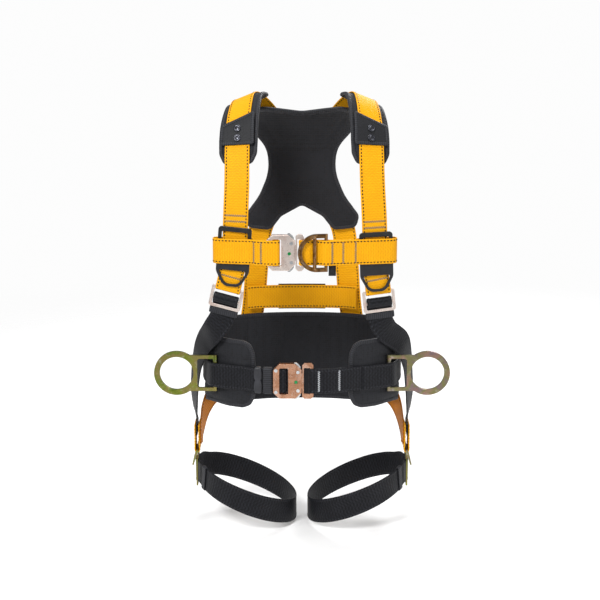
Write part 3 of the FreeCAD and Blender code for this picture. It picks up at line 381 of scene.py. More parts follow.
def put(x, y, z, turn=0.0, lean=0.0):
    return Matrix.Translation((x, y, z)) @ Matrix.Rotation(math.radians(turn), 4,
            "Z") @ Matrix.Rotation(math.radians(lean), 4, "Y")


def fromFrame(place, rows):
    return [(place @ Vector((0, y, z)), (place.to_3x3() @ Vector((0, ny, nz))).normalized()) for y, z, ny,
            nz in rows]


def flat(x, y, z=0.0):
    return (Vector((x, y, z)), Vector((0, -1, 0)))


def foldRound(cx, cy, radius, z):
    rows = []
    for k in range(5):
        t = math.radians(-90 + 45 * k)
        rows.append((Vector((cx + radius * math.cos(t), cy + radius * math.sin(t), z)),
                     Vector((math.cos(t), math.sin(t), 0))))
    return rows


def loopNormals(rows, side, z):
    out = []
    for i, (x, y) in enumerate(rows):
        a, b = rows[max(i - 1, 0)], rows[min(i + 1, len(rows) - 1)]
        tx, ty = b[0] - a[0], b[1] - a[1]
        length = math.hypot(tx, ty)
        out.append((Vector((side * x, y, z)), Vector((side * ty / length, -tx / length, 0))))
    return out


# mesh building
# Vertices, faces, finishes and strap coordinates of one piece.
class Pile:
    def __init__(self):
        self.verts, self.faces, self.slots, self.coords = [], [], [], []

    def add(self, verts, faces, slot=0, coords=None):
        base = len(self.verts)
        self.verts += verts
        for face in faces:
            self.faces.append([base + i for i in face])
            self.slots.append(slot)
            self.coords.append([coords[i] for i in face] if coords else [(0, 0)] * len(face))

    def make(self, name, materials, body="harness", replaced=()):
        mesh = bpy.data.meshes.new(name)
        mesh.from_pydata([tuple(v * mm) for v in self.verts], [], self.faces)
        layer = mesh.uv_layers.new(name="strap")
        layer.data.foreach_set("uv", [c * mm for face in self.coords for corner in face for c in corner])
        for key in materials:
            mesh.materials.append(finish[key])
        mesh.polygons.foreach_set("material_index", self.slots)
        mesh.shade_smooth()
        mesh.update()
        piece = bpy.data.objects.new(name, mesh)
        bpy.context.scene.collection.objects.link(piece)
        if body:
            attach(piece, body)
        if replaced:
            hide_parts(*replaced)
        return piece


# every webbing of the harness, in millimetres, and the rows sewn along its edges
strap = {"wide": 45.0, "deep": 2.0, "rowInset": 3.6, "pitch": 6.0, "stitch": (4.0, 2.2, 0.5)}


# Woven edge: flat faces with a slightly raised selvage and round ends.
def sectionOf(width, deep):
    half, h = width / 2, deep / 2
    top = [(-half + 0.35, h * 0.72), (-half + 1.1, h * 1.04), (-half + 3.0, h), (-half * 0.6, h),
           (-half * 0.2, h),
           (half * 0.2, h), (half * 0.6, h), (half - 3.0, h), (half - 1.1, h * 1.04), (half - 0.35, h * 0.72),
           (half, 0)]
    return top + [(-x, -y) for x, y in top]


def layWebbing(pile, stations, width=strap["wide"], deep=strap["deep"], closed=False, slot=0, wave=0.25):
    section = sectionOf(width, deep)
    count, turns = len(section), len(stations)
    verts, coords = [], []
    for p, along, across, out, travelled in stations:
        ripple = wave * noise.noise(Vector((travelled / 22.0, p.x * 0.01, p.z * 0.01)))
        for x, y in section:
            lift = ripple + wave * 0.7 * noise.noise(Vector((travelled / 14.0, x / 13.0, 4.0)))
            verts.append(p + across * (x + ripple * 0.6 * (1 if x > 0 else -1)) + out * (y + lift))
            coords.append((x, travelled))
    faces = []
    for i in range(turns if closed else turns - 1):
        for k in range(count):
            j, m = (i + 1) % turns, (k + 1) % count
            faces.append((i * count + k, j * count + k, j * count + m, i * count + m))
    if not closed:
        faces.append(list(range(count)))
        faces.append(list(range((turns - 1) * count, turns * count))[::-1])
    if closed:  # the last span's coordinate runs on instead of back to zero
        verts += verts[:count]
        total = stations[-1][4] + (stations[0][0] - stations[-1][0]).length
        coords += [(x, total) for x, _ in coords[:count]]
        lastSpan = (turns - 1) * count
        faces = [tuple(v + turns * count if v < count and max(face) >= lastSpan else v for v in face)
                 for face in faces]
    pile.add(verts, [f[::-1] for f in faces], slot, coords)


def sewStitch(pile, spot, along, across, out, size, slot):
    length, wide, high = size
    a, s, o = along * length / 2, across * wide / 2, out * high
    verts = [spot - a, spot - a * 0.6 - s, spot - a * 0.6 + o, spot - a * 0.6 + s,
             spot + a * 0.6 - s, spot + a * 0.6 + o, spot + a * 0.6 + s, spot + a]
    faces = [(0, 2, 1), (0, 3, 2), (1, 2, 5, 4), (2, 3, 6, 5), (4, 5, 7), (5, 6, 7)]
    pile.add(verts, faces, slot)


# Stitches along a strap, lateral millimetres off its middle, on the face at that height.
# Real thread is 0.9 mm thick with a stitch every 4 mm; drawn coarser so that each one shows.
def sewRow(pile, stations, lateral, height, slot, start=3.0):
    s, i = start, 0
    while s < stations[-1][4] - 2:
        while i < len(stations) - 2 and stations[i + 1][4] < s:
            i += 1
        a, b = stations[i], stations[i + 1]
        w = (s - a[4]) / max(b[4] - a[4], 1e-6)
        p, along = a[0].lerp(b[0], w), a[1].lerp(b[1], w).normalized()
        across, out = a[2].lerp(b[2], w), a[3].lerp(b[3], w)
        sewStitch(pile, p + across * lateral + out * height, along, across, out * (1 if height > 0 else -1),
                  strap["stitch"], slot)
        s += strap["pitch"]


def nearest(stations, point, after=0.0):
    point = Vector(point)
    return min((st for st in stations if st[4] >= after), key=lambda st: (st[0] - point).length)


# Bar tack: a zigzag of thread right across the strap at that distance along it.
def sewTack(pile, stations, at, slot, height, width=38.5, rows=4.0):
    spot = min(stations, key=lambda st: abs(st[4] - at))
    p, along, across, out, _ = spot
    face = out * (1 if height > 0 else -1)
    steps = int(width / 1.9)  # real tacks have a stitch every 0.8 mm; drawn coarser to show
    for k in range(steps):
        u = -width / 2 + width * (k + 0.5) / steps
        way = (across * 1.9 + along * rows * (1 if k % 2 else -1)).normalized()
        side = face.cross(way).normalized()
        sewStitch(pile, p + across * u + out * height, way, side, face, (rows * 1.25, 1.25, 0.55), slot)


def webbing(name, stations, colour, node, width=strap["wide"], deep=strap["deep"], closed=False, rows=True,
            tacks=(), body="harness",
            thread="darkThread", wave=0.25):
    pile = Pile()
    layWebbing(pile, stations, width, deep, closed, wave=wave)
    if rows:
        for lateral in (-width / 2 + strap["rowInset"], width / 2 - strap["rowInset"]):
            for height in (deep / 2, -deep / 2):
                sewRow(pile, stations, lateral, height, 1)
    for at, tackThread, sides in tacks:
        for sign in sides:
            sewTack(pile, stations, at, 2 if tackThread == "greyThread" else 3, sign * deep / 2)
    return pile.make(name, [colour, thread, "greyThread", "whiteThread"], body, [node] if node else ())


# padding: a closed quilted form over any surface
# Distance of each point to a polyline, with numpy.
def segmentDistance(points, line, closed):
    best = np.full(len(points), 1e9)
    ends = len(line) if closed else len(line) - 1
    for i in range(ends):
        a, b = np.array(line[i]), np.array(line[(i + 1) % len(line)])
        d = b - a
        t = np.clip(((points - a) @ d) / max(d @ d, 1e-9), 0, 1)
        best = np.minimum(best, np.hypot(*(points - a - t[:, None] * d).T))
    return best


# Closed outline with rounded corners, sampled every step millimetres.
def roundOutline(points, radius, step=4.0):
    count, row = len(points), []
    for i in range(count):
        rad = radius[i] if isinstance(radius, (list, tuple)) else radius
        p, a, b = (Vector(points[k % count]) for k in (i, i - 1, i + 1))
        da, db = (a - p), (b - p)
        half = da.angle(db) / 2
        reach = min(rad / math.tan(half), da.length * 0.48, db.length * 0.48)
        if half > 1.5 or reach < 0.2:
            row.append(p)
            continue
        p1, p2 = p + da.normalized() * reach, p + db.normalized() * reach
        for k in range(7):
            t = k / 6
            row.append(p1 * (1 - t) ** 2 + p * 2 * t * (1 - t) + p2 * t * t)
    out = []
    for i, p in enumerate(row):
        q = row[(i + 1) % len(row)]
        cuts = max(1, round((q - p).length / step))
        out += [p.lerp(q, k / cuts) for k in range(cuts)]
    clean = [out[0]]
    for p in out[1:]:
        if (p - clean[-1]).length > 0.8:
            clean.append(p)
    if (clean[-1] - clean[0]).length < 0.8:
        clean.pop()
    area = sum(clean[i - 1].x * clean[i].y - clean[i].x * clean[i - 1].y for i in range(len(clean)))
    return clean if area > 0 else clean[::-1]


# stitches of the bound edge and of the sewn channels: length, width and height, and how far apart
sewing = {"tapeStitch": (2.2, 0.6, 0.25), "tapePitch": 3.6, "channelStitch": (2.4, 0.6, 0.3),
          "channelPitch": 3.8}


# outline is flat, in millimetres; toSpace(u, v, h) lays it on the body, h above the middle of the pad.
def quilt(name, outline, toSpace, style, node, channels=(), cloth="padCloth"):
    style = {**sewing, **style}
    tall, edge, crown, grid = style["thick"], style["edge"], style["crown"], style["grid"]
    tapeWide = style["tape"]
    corners = [tuple(p) for p in outline]
    lo, hi = np.min(corners, 0), np.max(corners, 0)
    us, vs = np.arange(lo[0] + grid / 2, hi[0], grid), np.arange(lo[1] + grid / 2, hi[1], grid)
    spots = np.array([(u + (grid / 2 if k % 2 else 0), v) for k, v in enumerate(vs) for u in us])
    inside = np.zeros(len(spots), bool)
    for i, (x1, y1) in enumerate(corners):
        x2, y2 = corners[i - 1]
        crossing = ((y1 > spots[:, 1]) != (y2 > spots[:, 1]))
        at = (x2 - x1) * (spots[:, 1] - y1) / ((y2 - y1) or 1e-9) + x1
        inside ^= crossing & (spots[:, 0] < at)
    spots = spots[inside]
    spots = spots[segmentDistance(spots, corners, True) > grid * 0.55]
    every = np.vstack([np.array(corners), spots])
    loop = len(corners)
    made = geometry.delaunay_2d_cdt([Vector(p) for p in every], [(i, (i + 1) % loop) for i in range(loop)],
                                    [], 1, 1e-5)
    flatVerts, flatFaces = [tuple(v) for v in made[0]], made[2]
    flatArray = np.array(flatVerts)

    def thickness(points):
        far = segmentDistance(points, corners, True)
        rise = np.clip((far - tapeWide) / crown, 0, 1)
        t = edge + (tall - edge) * np.sqrt(1 - (1 - rise) ** 2)
        for line, depth, wide in channels:
            c = segmentDistance(points, line, False)
            t = t - depth * np.exp(-(c / wide) ** 2)
            pucker = np.array([noise.noise(Vector((p[0] / 5.0, p[1] / 5.0, 1.0))) for p in points])
            t = t + 0.9 * pucker * np.exp(-(c / 7.0) ** 2)
        swell = np.array([noise.noise(Vector((p[0] / 26.0, p[1] / 26.0, 7.0))) for p in points])
        return np.maximum(t + style.get("swell", 0.7) * swell * rise, 1.0)

    heights = thickness(flatArray)
    heights[:loop] = edge
    pile = Pile()
    verts = [toSpace(u, v, h / 2) for (u, v), h in zip(flatVerts, heights)]
    verts += [toSpace(u, v, -h / 2) for (u, v), h in zip(flatVerts, heights)]
    n = len(flatVerts)
    upper, lower = [], []
    for face in flatFaces:
        a, b, c = (Vector(flatVerts[i]) for i in face[:3])
        if (b - a).cross(c - a) < 0:
            face = face[::-1]
        upper.append(list(face))
        lower.append([i + n for i in face[::-1]])
    used = {}
    for face in upper:
        for i in range(len(face)):
            used[(face[i], face[(i + 1) % len(face)])] = 1
    rim = [(b, a) for a, b in used if (b, a) not in used]
    sides = [(a, b, b + n, a + n) for a, b in rim]
    coords = [(u, v) for u, v in flatVerts] * 2
    pile.add(verts, upper + lower + sides, 0, coords)

    # the bound edge: tape folded over the rim, with its own row of stitches
    travelled = 0.0
    section = [(tapeWide + 0.3, edge / 2 + 0.05), (tapeWide, edge / 2 + 0.75),
               (tapeWide * 0.55, edge / 2 + 0.95),
               (0.8, edge / 2 + 0.85), (-0.7, edge / 2 + 0.3), (-1.15, 0)]
    section = section + [(a, -h) for a, h in reversed(section[:-1])]
    tapeVerts, tapeCoords = [], []
    line = []
    for i in range(loop):
        p, a, b = Vector(corners[i]), Vector(corners[i - 1]), Vector(corners[(i + 1) % loop])
        t = (b - a).normalized()
        inward = Vector((-t.y, t.x))
        travelled += (p - a).length if i else 0
        line.append((p, t, inward, travelled))
        for k, (inset, h) in enumerate(section):
            crumple = 0.22 * noise.noise(Vector((travelled / 6.0, k * 0.7, 2.0)))
            q = p + inward * (inset + crumple)
            tapeVerts.append(toSpace(q.x, q.y, h + crumple * (1 if h > 0 else -1)))
            tapeCoords.append((k * 1.4, travelled))
    ring = len(section)
    tapeFaces = []
    for i in range(loop):
        for k in range(ring - 1):
            j = (i + 1) % loop
            tapeFaces.append((i * ring + k, i * ring + k + 1, j * ring + k + 1, j * ring + k))
    pile.add(tapeVerts, tapeFaces, 1, tapeCoords)

    # one stitch on the face at that height, pointing along t
    def laidStitch(spot, t, height, sign, size):
        here, ahead = toSpace(spot.x, spot.y, height), toSpace(spot.x + t.x, spot.y + t.y, height)
        out = (toSpace(spot.x, spot.y, height + sign) - here).normalized()
        along = (ahead - here).normalized()
        sewStitch(pile, here, along, out.cross(along).normalized(), out, size, 2)

    s, i = 1.0, 0
    while s < travelled:
        while i < loop - 2 and line[i + 1][3] < s:
            i += 1
        p, t, inward, at = line[i]
        q = p + t * (s - at) + inward * (tapeWide - 1.1)
        for sign in (1, -1):
            laidStitch(q, t, sign * (edge / 2 + 0.85), sign, style["tapeStitch"])
        s += style["tapePitch"]
    for sewn, depth, wide in channels:
        for a, b in zip(sewn[:-1], sewn[1:]):
            a, b = Vector(a), Vector(b)
            steps = max(1, int((b - a).length / style["channelPitch"]))
            for k in range(steps):
                q = a.lerp(b, (k + 0.5) / steps)
                height = float(thickness(np.array([(q.x, q.y)]))[0]) / 2
                laidStitch(q, (b - a).normalized(), height, 1, style["channelStitch"])
    piece = pile.make(name, [cloth, "tape", "blackThread"], "harness", [node])
    return piece


# waist pad
padOut = 10.0
arcs = [0.0]
angleRow = [70 - k for k in range(0, 161)]
for k in range(1, len(angleRow)):
    arcs.append(arcs[-1] + (waist(angleRow[k], padOut / 2)[0] - waist(angleRow[k - 1], padOut / 2)[0]).length)
middleArc = arcs[-1]


# u runs round the waist in millimetres from the middle of the back, v is the height.
def waistSurface(u, v, h):
    side = 1 if u >= 0 else -1
    angle = float(np.interp(middleArc - abs(u), arcs, angleRow))
    p, normal = waist(angle, padOut / 2 + h, v, side)
    return p


def arcAt(angle):
    return middleArc - float(np.interp(70 - angle, range(0, 161), arcs))


waistPad = {"thick": 9.6, "edge": 4.2, "crown": 11.0, "grid": 4.5, "tape": 5.5, "cornerRadius": 15.0,
            "swell": 0.9,
            "grooveDepth": 4.2, "grooveWide": 2.8}
half = [(64.0, 38, -26), (63.6, 46, -36), (61.0, 62, -50), (56.0, 67, -56), (44, 67.5, -56.5)]
for k in range(1, 12):
    angle = 44 - k * 11.2
    share = min(1.0, max(0.0, (30 - angle) / 80.0))
    share = share * share * (3 - 2 * share)
    tall, mid = 124 + 47 * share, 6 - 19.5 * share
    half.append((angle, mid + tall / 2 - 0.6, mid - tall / 2 + 0.6))
top = [(arcAt(a), t) for a, t, _ in half]
low = [(arcAt(a), b) for a, _, b in half]
outline = top + [(0, 71.4)] + [(-u, v) for u, v in reversed(top)] + [(-u, v) for u,
        v in low] + [(0,
                -98.4)] + list(reversed(low))
waistOutline = roundOutline(outline, waistPad["cornerRadius"])
grooves = []
for s in (-1, 1):
    for v in (33.5, -27.5):
        grooves.append(([(s * arcAt(59), v), (s * arcAt(30), v - 1), (s * arcAt(-10), v - 4)],
                        waistPad["grooveDepth"], waistPad["grooveWide"]))
    grooves.append(([(s * arcAt(59), 33.5), (s * arcAt(59), -27.5)], waistPad["grooveDepth"],
                    waistPad["grooveWide"]))
for u in (-105, -35, 35, 105):
    grooves.append(([(u, 56), (u, -82)], waistPad["grooveDepth"], waistPad["grooveWide"]))
quilt("waist_padding", waistOutline, waistSurface, waistPad, "waist_pad", channels=grooves)
print("waist padding made")

# belt
belt = {"off": padOut + 1.6, "buckleX": -26.4, "buckleY": -122.0, "ringAngle": 33.4, "ringOff": padOut + 5.2,
        "tongueReach": 46.7}
ringPush = belt["ringOff"] + 4.0 + 1.4 + 1.0
foldX = belt["buckleX"] - 4.0
rows = [flat(-88, -110.4), flat(-80, -113.0), flat(-70, -114.6), flat(-52, -115.9), flat(foldX - 8, -115.9)]
rows = [(p, Vector((0, 1, 0))) for p, n in rows]
rows += list(reversed(foldRound(foldX, belt["buckleY"] + 3.5, 2.6, 0.0)))
rows += [flat(foldX - 8, belt["buckleY"] + 0.9), flat(-52, belt["buckleY"] + 0.9), flat(-70, -118.0),
         flat(-86, -115.4)]
ringSpots = [(52, belt["off"] + 1.0), (44, belt["off"] + 3.5), (38.5, ringPush - 1.8), (35.0, ringPush - 0.2),
             (31.8, ringPush - 0.2), (28.5, ringPush - 1.8), (22, belt["off"] + 3.5), (12, belt["off"] + 0.5)]
rows += [waist(a, o, 0, -1) for a, o in [(58, belt["off"])] + ringSpots]
rows += [waist(a, belt["off"], 0, -1) for a in (0, -14, -28, -42, -56, -70, -82)]
rows += [waist(a, belt["off"], 0, 1) for a in (-90, -82, -70, -56, -42, -28, -14, 0)]
rows += [waist(a, o, 0, 1) for a, o in reversed(ringSpots)]
rows += [waist(56, belt["off"], 0, 1)]
beltRow = stationsOf(rows)
webbing("belt_strap", beltRow, "blackWebbing", "belt_webbing", thread="blackThread",
        wave=0.18)

barX = belt["buckleX"] + belt["tongueReach"] - 3.0
last, lastNormal = waist(56, belt["off"], 0, 1)
rows = [(last + (waist(58, belt["off"], 0, 1)[0] - last) * 0.12, lastNormal), waist(61, belt["off"] + 0.4, 0,
        1), flat(72, -117.0),
        flat(56, -121.6), flat(40, -124.6), flat(barX + 4, -125.6)]
rows += [(Vector((2 * (barX - 1.0) - p.x, p.y, p.z)), Vector((-n.x, n.y, 0))) for p,
         n in foldRound(barX - 1.0, belt["buckleY"], 3.6, 0.0)]
rows += [(Vector((x, y, 0)), Vector((0, 1, 0))) for x, y in ((barX + 4, -118.4), (40, -119.4), (56, -118.4),
        (70, -114.4))]
frontRow = stationsOf(rows)
tacks = [(nearest(frontRow, (x, -123, 0))[4], "whiteThread", (1,)) for x in (31, 68.5)]
beltFront = webbing("belt_strap_front", frontRow, "blackWebbing", "belt_webbing_front", tacks=tacks,
                    body=None,
                    thread="blackThread", wave=0.15)
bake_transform(beltFront)


# Flat band sewn into a ring, its mouth along local X (wide) with rounded ends.
def band(name, place, wide, deep, tall, thick, material, node, waves=0, body="harness"):
    pile = Pile()
    loop = []
    w, d = tall / 2, deep / 2
    r = min(d, 2.6)
    for cx, cy, start in ((w - r, d - r, 0), (-w + r, d - r, 90), (-w + r, -d + r, 180),
                          (w - r, -d + r, 270)):
        for k in range(5):
            t = math.radians(start + 22.5 * k)
            loop.append((cx + r * math.cos(t), cy + r * math.sin(t)))
    full = []
    for i, p in enumerate(loop):
        q = loop[(i + 1) % len(loop)]
        cuts = max(1, round(math.dist(p, q) / 3.0))
        full += [(p[0] + (q[0] - p[0]) * k / cuts, p[1] + (q[1] - p[1]) * k / cuts) for k in range(cuts)]
    n = len(full)
    across = 9
    verts, coords, travelled = [], [], 0.0
    for i, (x, y) in enumerate(full):
        a, b = full[i - 1], full[(i + 1) % n]
        t = Vector((b[0] - a[0], b[1] - a[1])).normalized()
        out = Vector((t.y, -t.x))
        travelled += math.dist(full[i], full[i - 1]) if i else 0
        for layer in (0, 1):
            for k in range(across):
                s = -1 + 2 * k / (across - 1)
                lobe = 1 - waves + waves * abs(math.sin(2 * math.pi * x / tall)) ** 0.5 if waves else 1
                bulge = (thick if layer else 0) * (1 - 0.35 * abs(s) ** 4)
                verts.append(place @ Vector((s * wide / 2 * lobe, y + out.y * bulge, x + out.x * bulge)))
                coords.append((travelled, s * wide / 2))
    faces = []
    ring = across * 2
    for i in range(n):
        j = (i + 1) % n
        for k in range(across - 1):
            faces.append((i * ring + across + k, j * ring + across + k, j * ring + across + k + 1,
                          i * ring + across + k + 1))
            faces.append((i * ring + k + 1, j * ring + k + 1, j * ring + k, i * ring + k))
        faces.append((i * ring + across - 1, i * ring + 2 * across - 1, j * ring + 2 * across - 1,
                      j * ring + across - 1))
        faces.append((i * ring, j * ring, j * ring + across, i * ring + across))
    pile.add(verts, faces, 0, coords)
    piece = pile.make(name, [material], body, [node] if node else ())
    return piece


band("belt_keeper_lobed", put(-78.5, -114.9, 0, -8), 15.0, 7.4, 46.2, 1.5, "keeperRubber", "belt_keepers",
     waves=0.42)
band("belt_keeper_elastic", put(-61.3, -118.2, 0, -5), 16.0, 9.2, 46.2, 1.4, "elastic", None)
print("belt made")

# chest strap, in two halves
chest = {"z": 233.0, "buckleX": -38.0, "strapX": {-1: 119.0, 1: 129.0}}
loopRows = [(-30, -116.5), (-13, -113.8), (3, -111.0), (18, -108.4), (30, -105.5), (36.5, -100), (38, -93),
            (34, -87),
            (25, -87), (18, -89), (3, -93), (-13, -96.6), (-22, -99.2), (-30, -103)]
right = [(chest["strapX"][-1] + u, y) for u, y in loopRows]
fold = [(-(chest["buckleX"] - 8 + 6.1 * math.cos(math.radians(a))),
         belt["buckleY"] + 6.1 * math.sin(math.radians(a)))
        for a in (90, 60, 30, 0, -30, -60, -90)]
rows = [(82, -117.4), (75, -119.0), (68, -117.8), (65, -115.9), (56, -115.6)] + fold
rows += [(63, -127.8), (80, -122.6)] + right + [(85, -107.5)]
chestRight = stationsOf(loopNormals(rows, -1, chest["z"]))
tacks = [(nearest(chestRight, (x, -124, chest["z"]), 45)[4], "greyThread", (1, -1)) for x in (-86.0, -73.5)]
webbing("chest_webbing_right", chestRight, "yellowWebbing", "chest_strap_right", tacks=tacks,
        wave=0.12)

left = [(chest["strapX"][1] + u, y) for u, y in loopRows]
noseX = chest["buckleX"] + 41.0 - 2.8
nose = [(noseX - 1.4 - 3.6 * math.sin(math.radians(a)),
         belt["buckleY"] + 3.6 * math.cos(math.radians(a))) for a in (0, 45, 90, 135, 180)]
rows = [(86, -116.6), (70, -119.7), (56, -119.2), (45, -118.4), (30, -118.2), (12, -118.3)] + nose
rows += [(12, -124.0), (22, -121.8), (30, -123.4), (36, -127.0), (42, -128.7), (48, -127.6), (58, -124.6),
         (72, -122.4),
         (84, -120)] + left + [(93, -108.5)]
chestLeft = stationsOf(loopNormals(rows, 1, chest["z"]))
tacks = [(nearest(chestLeft, (x, -124, chest["z"]), 110)[4], "greyThread", (1,)) for x in (52, 75, 97.0)]
piece = webbing("chest_webbing_left", chestLeft, "yellowWebbing", "chest_strap_left", tacks=tacks, body=None,
                wave=0.12)
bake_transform(piece)

tag = {"wide": 13.0, "tall": 23.0, "thick": 1.1, "at": (53, -121.9, 203)}
pile = Pile()
x, y, z = tag["at"]
tagRow = []
for k in range(9):
    v = tag["tall"] / 2 - tag["tall"] * k / 8
    tagRow.append((Vector((x, y + 0.35 * math.sin(k * 0.9), z + v)), Vector((0, -1, 0))))
layWebbing(pile, stationsOf(tagRow, 3), tag["wide"], tag["thick"], wave=0.1)
pile.make("blank_tag", ["flapCloth"], "chest_tongue", ["strap_tag"])
print("chest straps made")

# shoulder straps, pads and flaps
lean, drop, frontTurn = {-1: 13.0, 1: -6.0}, {-1: 0.0, 1: -9.0}, {-1: -8.5, 1: 8.5}
adjust = {}
shoulder = {"thick": 10.0, "edge": 4.4, "crown": 9.0, "grid": 4.0, "tape": 5.5, "width": 71.0, "swell": 0.8}
flapStyle = {"thick": 2.4, "edge": 1.7, "crown": 6.0, "grid": 4.0, "tape": 4.2, "swell": 0.2}
stud = {"radius": 6.75, "tall": 2.4}


# Surface laid over a row of stations: u along, v across, h out.
def alongPath(stations):
    travel = [s[4] for s in stations]

    def place(u, v, h):
        if u <= travel[0]:
            p, along, across, out, _ = stations[0]
            return p + along * (u - travel[0]) + across * v + out * h
        if u >= travel[-1]:
            p, along, across, out, _ = stations[-1]
            return p + along * (u - travel[-1]) + across * v + out * h
        i = int(np.searchsorted(travel, u)) - 1
        a, b = stations[i], stations[i + 1]
        w = (u - a[4]) / (b[4] - a[4])
        return a[0].lerp(b[0], w) + a[2].lerp(b[2], w) * v + a[3].lerp(b[3], w) * h

    return place


def lathe(pile, centre, axis, profile, segments=36, slot=0):
    axis = axis.normalized()
    side = axis.orthogonal().normalized()
    other = axis.cross(side)
    verts, faces = [], []
    for r, h in profile:
        for k in range(segments):
            t = 2 * math.pi * k / segments
            verts.append(centre + axis * h + (side * math.cos(t) + other * math.sin(t)) * max(r, 0.02))
    for i in range(len(profile) - 1):
        for k in range(segments):
            m = (k + 1) % segments
            faces.append((i * segments + k, i * segments + m, (i + 1) * segments + m, (i + 1) * segments + k))
    faces.append([(len(profile) - 1) * segments + k for k in range(segments)])
    pile.add(verts, faces, slot)


studPile = Pile()
for side in (-1, 1):
    tag, x = sideName[side], chest["strapX"][side]
    adjust[side] = put(side * (x + (16.5 if side < 0 else 8.5)), -95.4, 146.0 + drop[side] * 0.6,
                       frontTurn[side], lean[side])
    place = adjust[side]
    loop = [(3.0, 36, 1, 0), (3.1, 26, 1, 0), (2.9, 17, 1, 0), (2.4, 14.0, 1, -0.7), (0, 12.8, 0, -1),
            (-2.4, 14.0, -1, -0.7),
            (-2.9, 17, -1, 0), (-3.1, 26, -1, 0)]
    rows = fromFrame(place, loop)
    zs = drop[side]
    wide = 114.5 if side < 0 else 122.5
    over = [(x + (3 if side < 0 else 1), -100.2, 207 + zs * 0.5, 0.15, -1, 0), (x, -101, 233, 0.15, -1, 0),
            (x - 2, -100, 290, 0.15, -1, 0.05), ((x + wide) / 2 - 2, -90, 350, 0.17, -1, 0.2),
            (wide, -74, 400, 0.2, -0.95, 0.35),
            (wide - 1, -52, 447, 0.28, -0.75, 0.6), (wide - 5, -22, 481, 0.36, -0.35, 0.85),
            (wide - 10, 10, 494, 0.36, 0.05, 0.9),
            (wide - 22, 42, 488, 0.28, 0.45, 0.8), (wide - 42, 71, 466, 0.12, 0.8, 0.55),
            (wide - 65, 94.5, 432, 0.05, 0.95, 0.3)]
    rows += pts(mirror(over, side))
    lift = 0.0 if side < 0 else 3.6
    cross = [(34, 112.6 + lift, 408, 0, 1, 0.1), (14, 119.0 + lift, 388, 0, 1, 0), (0, 119.4 + lift, 373, 0,
            1, 0),
             (-10, 119.0 + lift, 358, 0, 1, 0), (-20, 114.6 + lift * 1.1, 340, 0, 1, 0),
             (-34, 111.0 + lift, 315, 0, 1, 0),
             (-55, 110, 285, 0, 1, 0), (-78, 112, 238, -0.1, 1, 0), (-86, 109, 170, -0.2, 1, 0),
             (-91, 106, 105, -0.3, 1, 0),
             (-95, 107, 74, -0.35, 1, 0), (-98, 108.6, 56, -0.4, 1, 0), (-99, 108.4, 28, -0.4, 1, 0)]
    rows += pts(mirror(cross, side))
    row = stationsOf(rows)
    tacks = []
    for z in ((282.5, 293.0) if side < 0 else (273.0, 284.0)):
        tacks.append((nearest(row, (side * x, -100, z))[4], "greyThread", (1,)))
    tacks.append((nearest(row, (side * x, -100, 184 if side < 0 else 178))[4], "greyThread", (1,)))
    for z in (40, 62):
        tacks.append((nearest(row, (-side * 97, 108, z))[4], "greyThread", (1,)))
    webbing("shoulder_webbing_" + tag, row, "yellowWebbing", "shoulder_strap_" + tag, tacks=tacks,
            wave=0.16)

    # pad under the strap
    front = (over[4][0], -78.8, 387.5, 0.19, -0.95, 0.32)
    padRow = stationsOf(pts(mirror([front] + over[5:9], side)), 6)
    total, w = padRow[-1][4], shoulder["width"] / 2 - 1.2
    shape = [(-2, 0), (-2, w * 0.72), (16, w * 0.97), (40, w), (total + 1, w), (total + 1, -w), (40, -w),
             (16, -w * 0.97), (-2, -w * 0.72)]
    shape = roundOutline(shape, [2, 12, 20, 30, 9, 9, 30, 20, 12])
    laid = alongPath(padRow)
    quilt("shoulder_padding_" + tag, shape, lambda u, v, h, laid=laid: laid(u, v, h - 1.9 - 5.0), shoulder,
          "shoulder_pad_" + tag,
          channels=[([(14, s * 26.4), (total - 8, s * 26.4)], 1.8, 2.2) for s in (-1, 1)])

    # flap folded over the strap, its upper edge slanted
    flapRow = stationsOf(pts(mirror([(wide - 0.2, -68.0, 415, 0.22, -0.9, 0.42), over[5],
                                     (wide - 3, -36.5, 467.5, 0.32, -0.55, 0.73)], side)), 5)
    reach = flapRow[-1][4]
    # across runs to the outer side on one strap and to the inner side on the other
    inner = 1 if flapRow[0][2].x * side < 0 else -1
    shape = [(1.2, -inner * 30), (0.6, inner * 30), (reach - 0.5, inner * 30), (reach - 25, -inner * 30)]
    shape = roundOutline(shape, [5, 5, 4, 4])
    laid = alongPath(flapRow)
    quilt("strap_flap_" + tag, shape, lambda u, v, h, laid=laid: laid(u, v, h + 2.9), flapStyle,
          "pad_flap_" + tag,
          cloth="flapCloth")

    for y, z, ny, nz in ((-62.9, 426, -0.85, 0.5), (-55.4, 442, -0.78, 0.57)):
        n = Vector((side * 0.28, ny, nz)).normalized()
        spot = Vector((side * (wide - 1.5), y, z)) + n * 4.4
        r = stud["radius"]
        lathe(studPile, spot, n, [(r, -0.6), (r, 0.5), (r - 0.25, 0.95), (r - 0.9, 1.3), (r - 1.7, 1.15),
                                  (r - 2.2, 0.75),
                                  (r - 2.7, 0.8), (r - 3.4, 1.2), (r - 4.6, 1.5), (r - 6.0, 1.62), (0, 1.65)])
studPile.make("stud_caps", ["gunmetal"], "harness", ["press_studs"])
print("shoulders made")

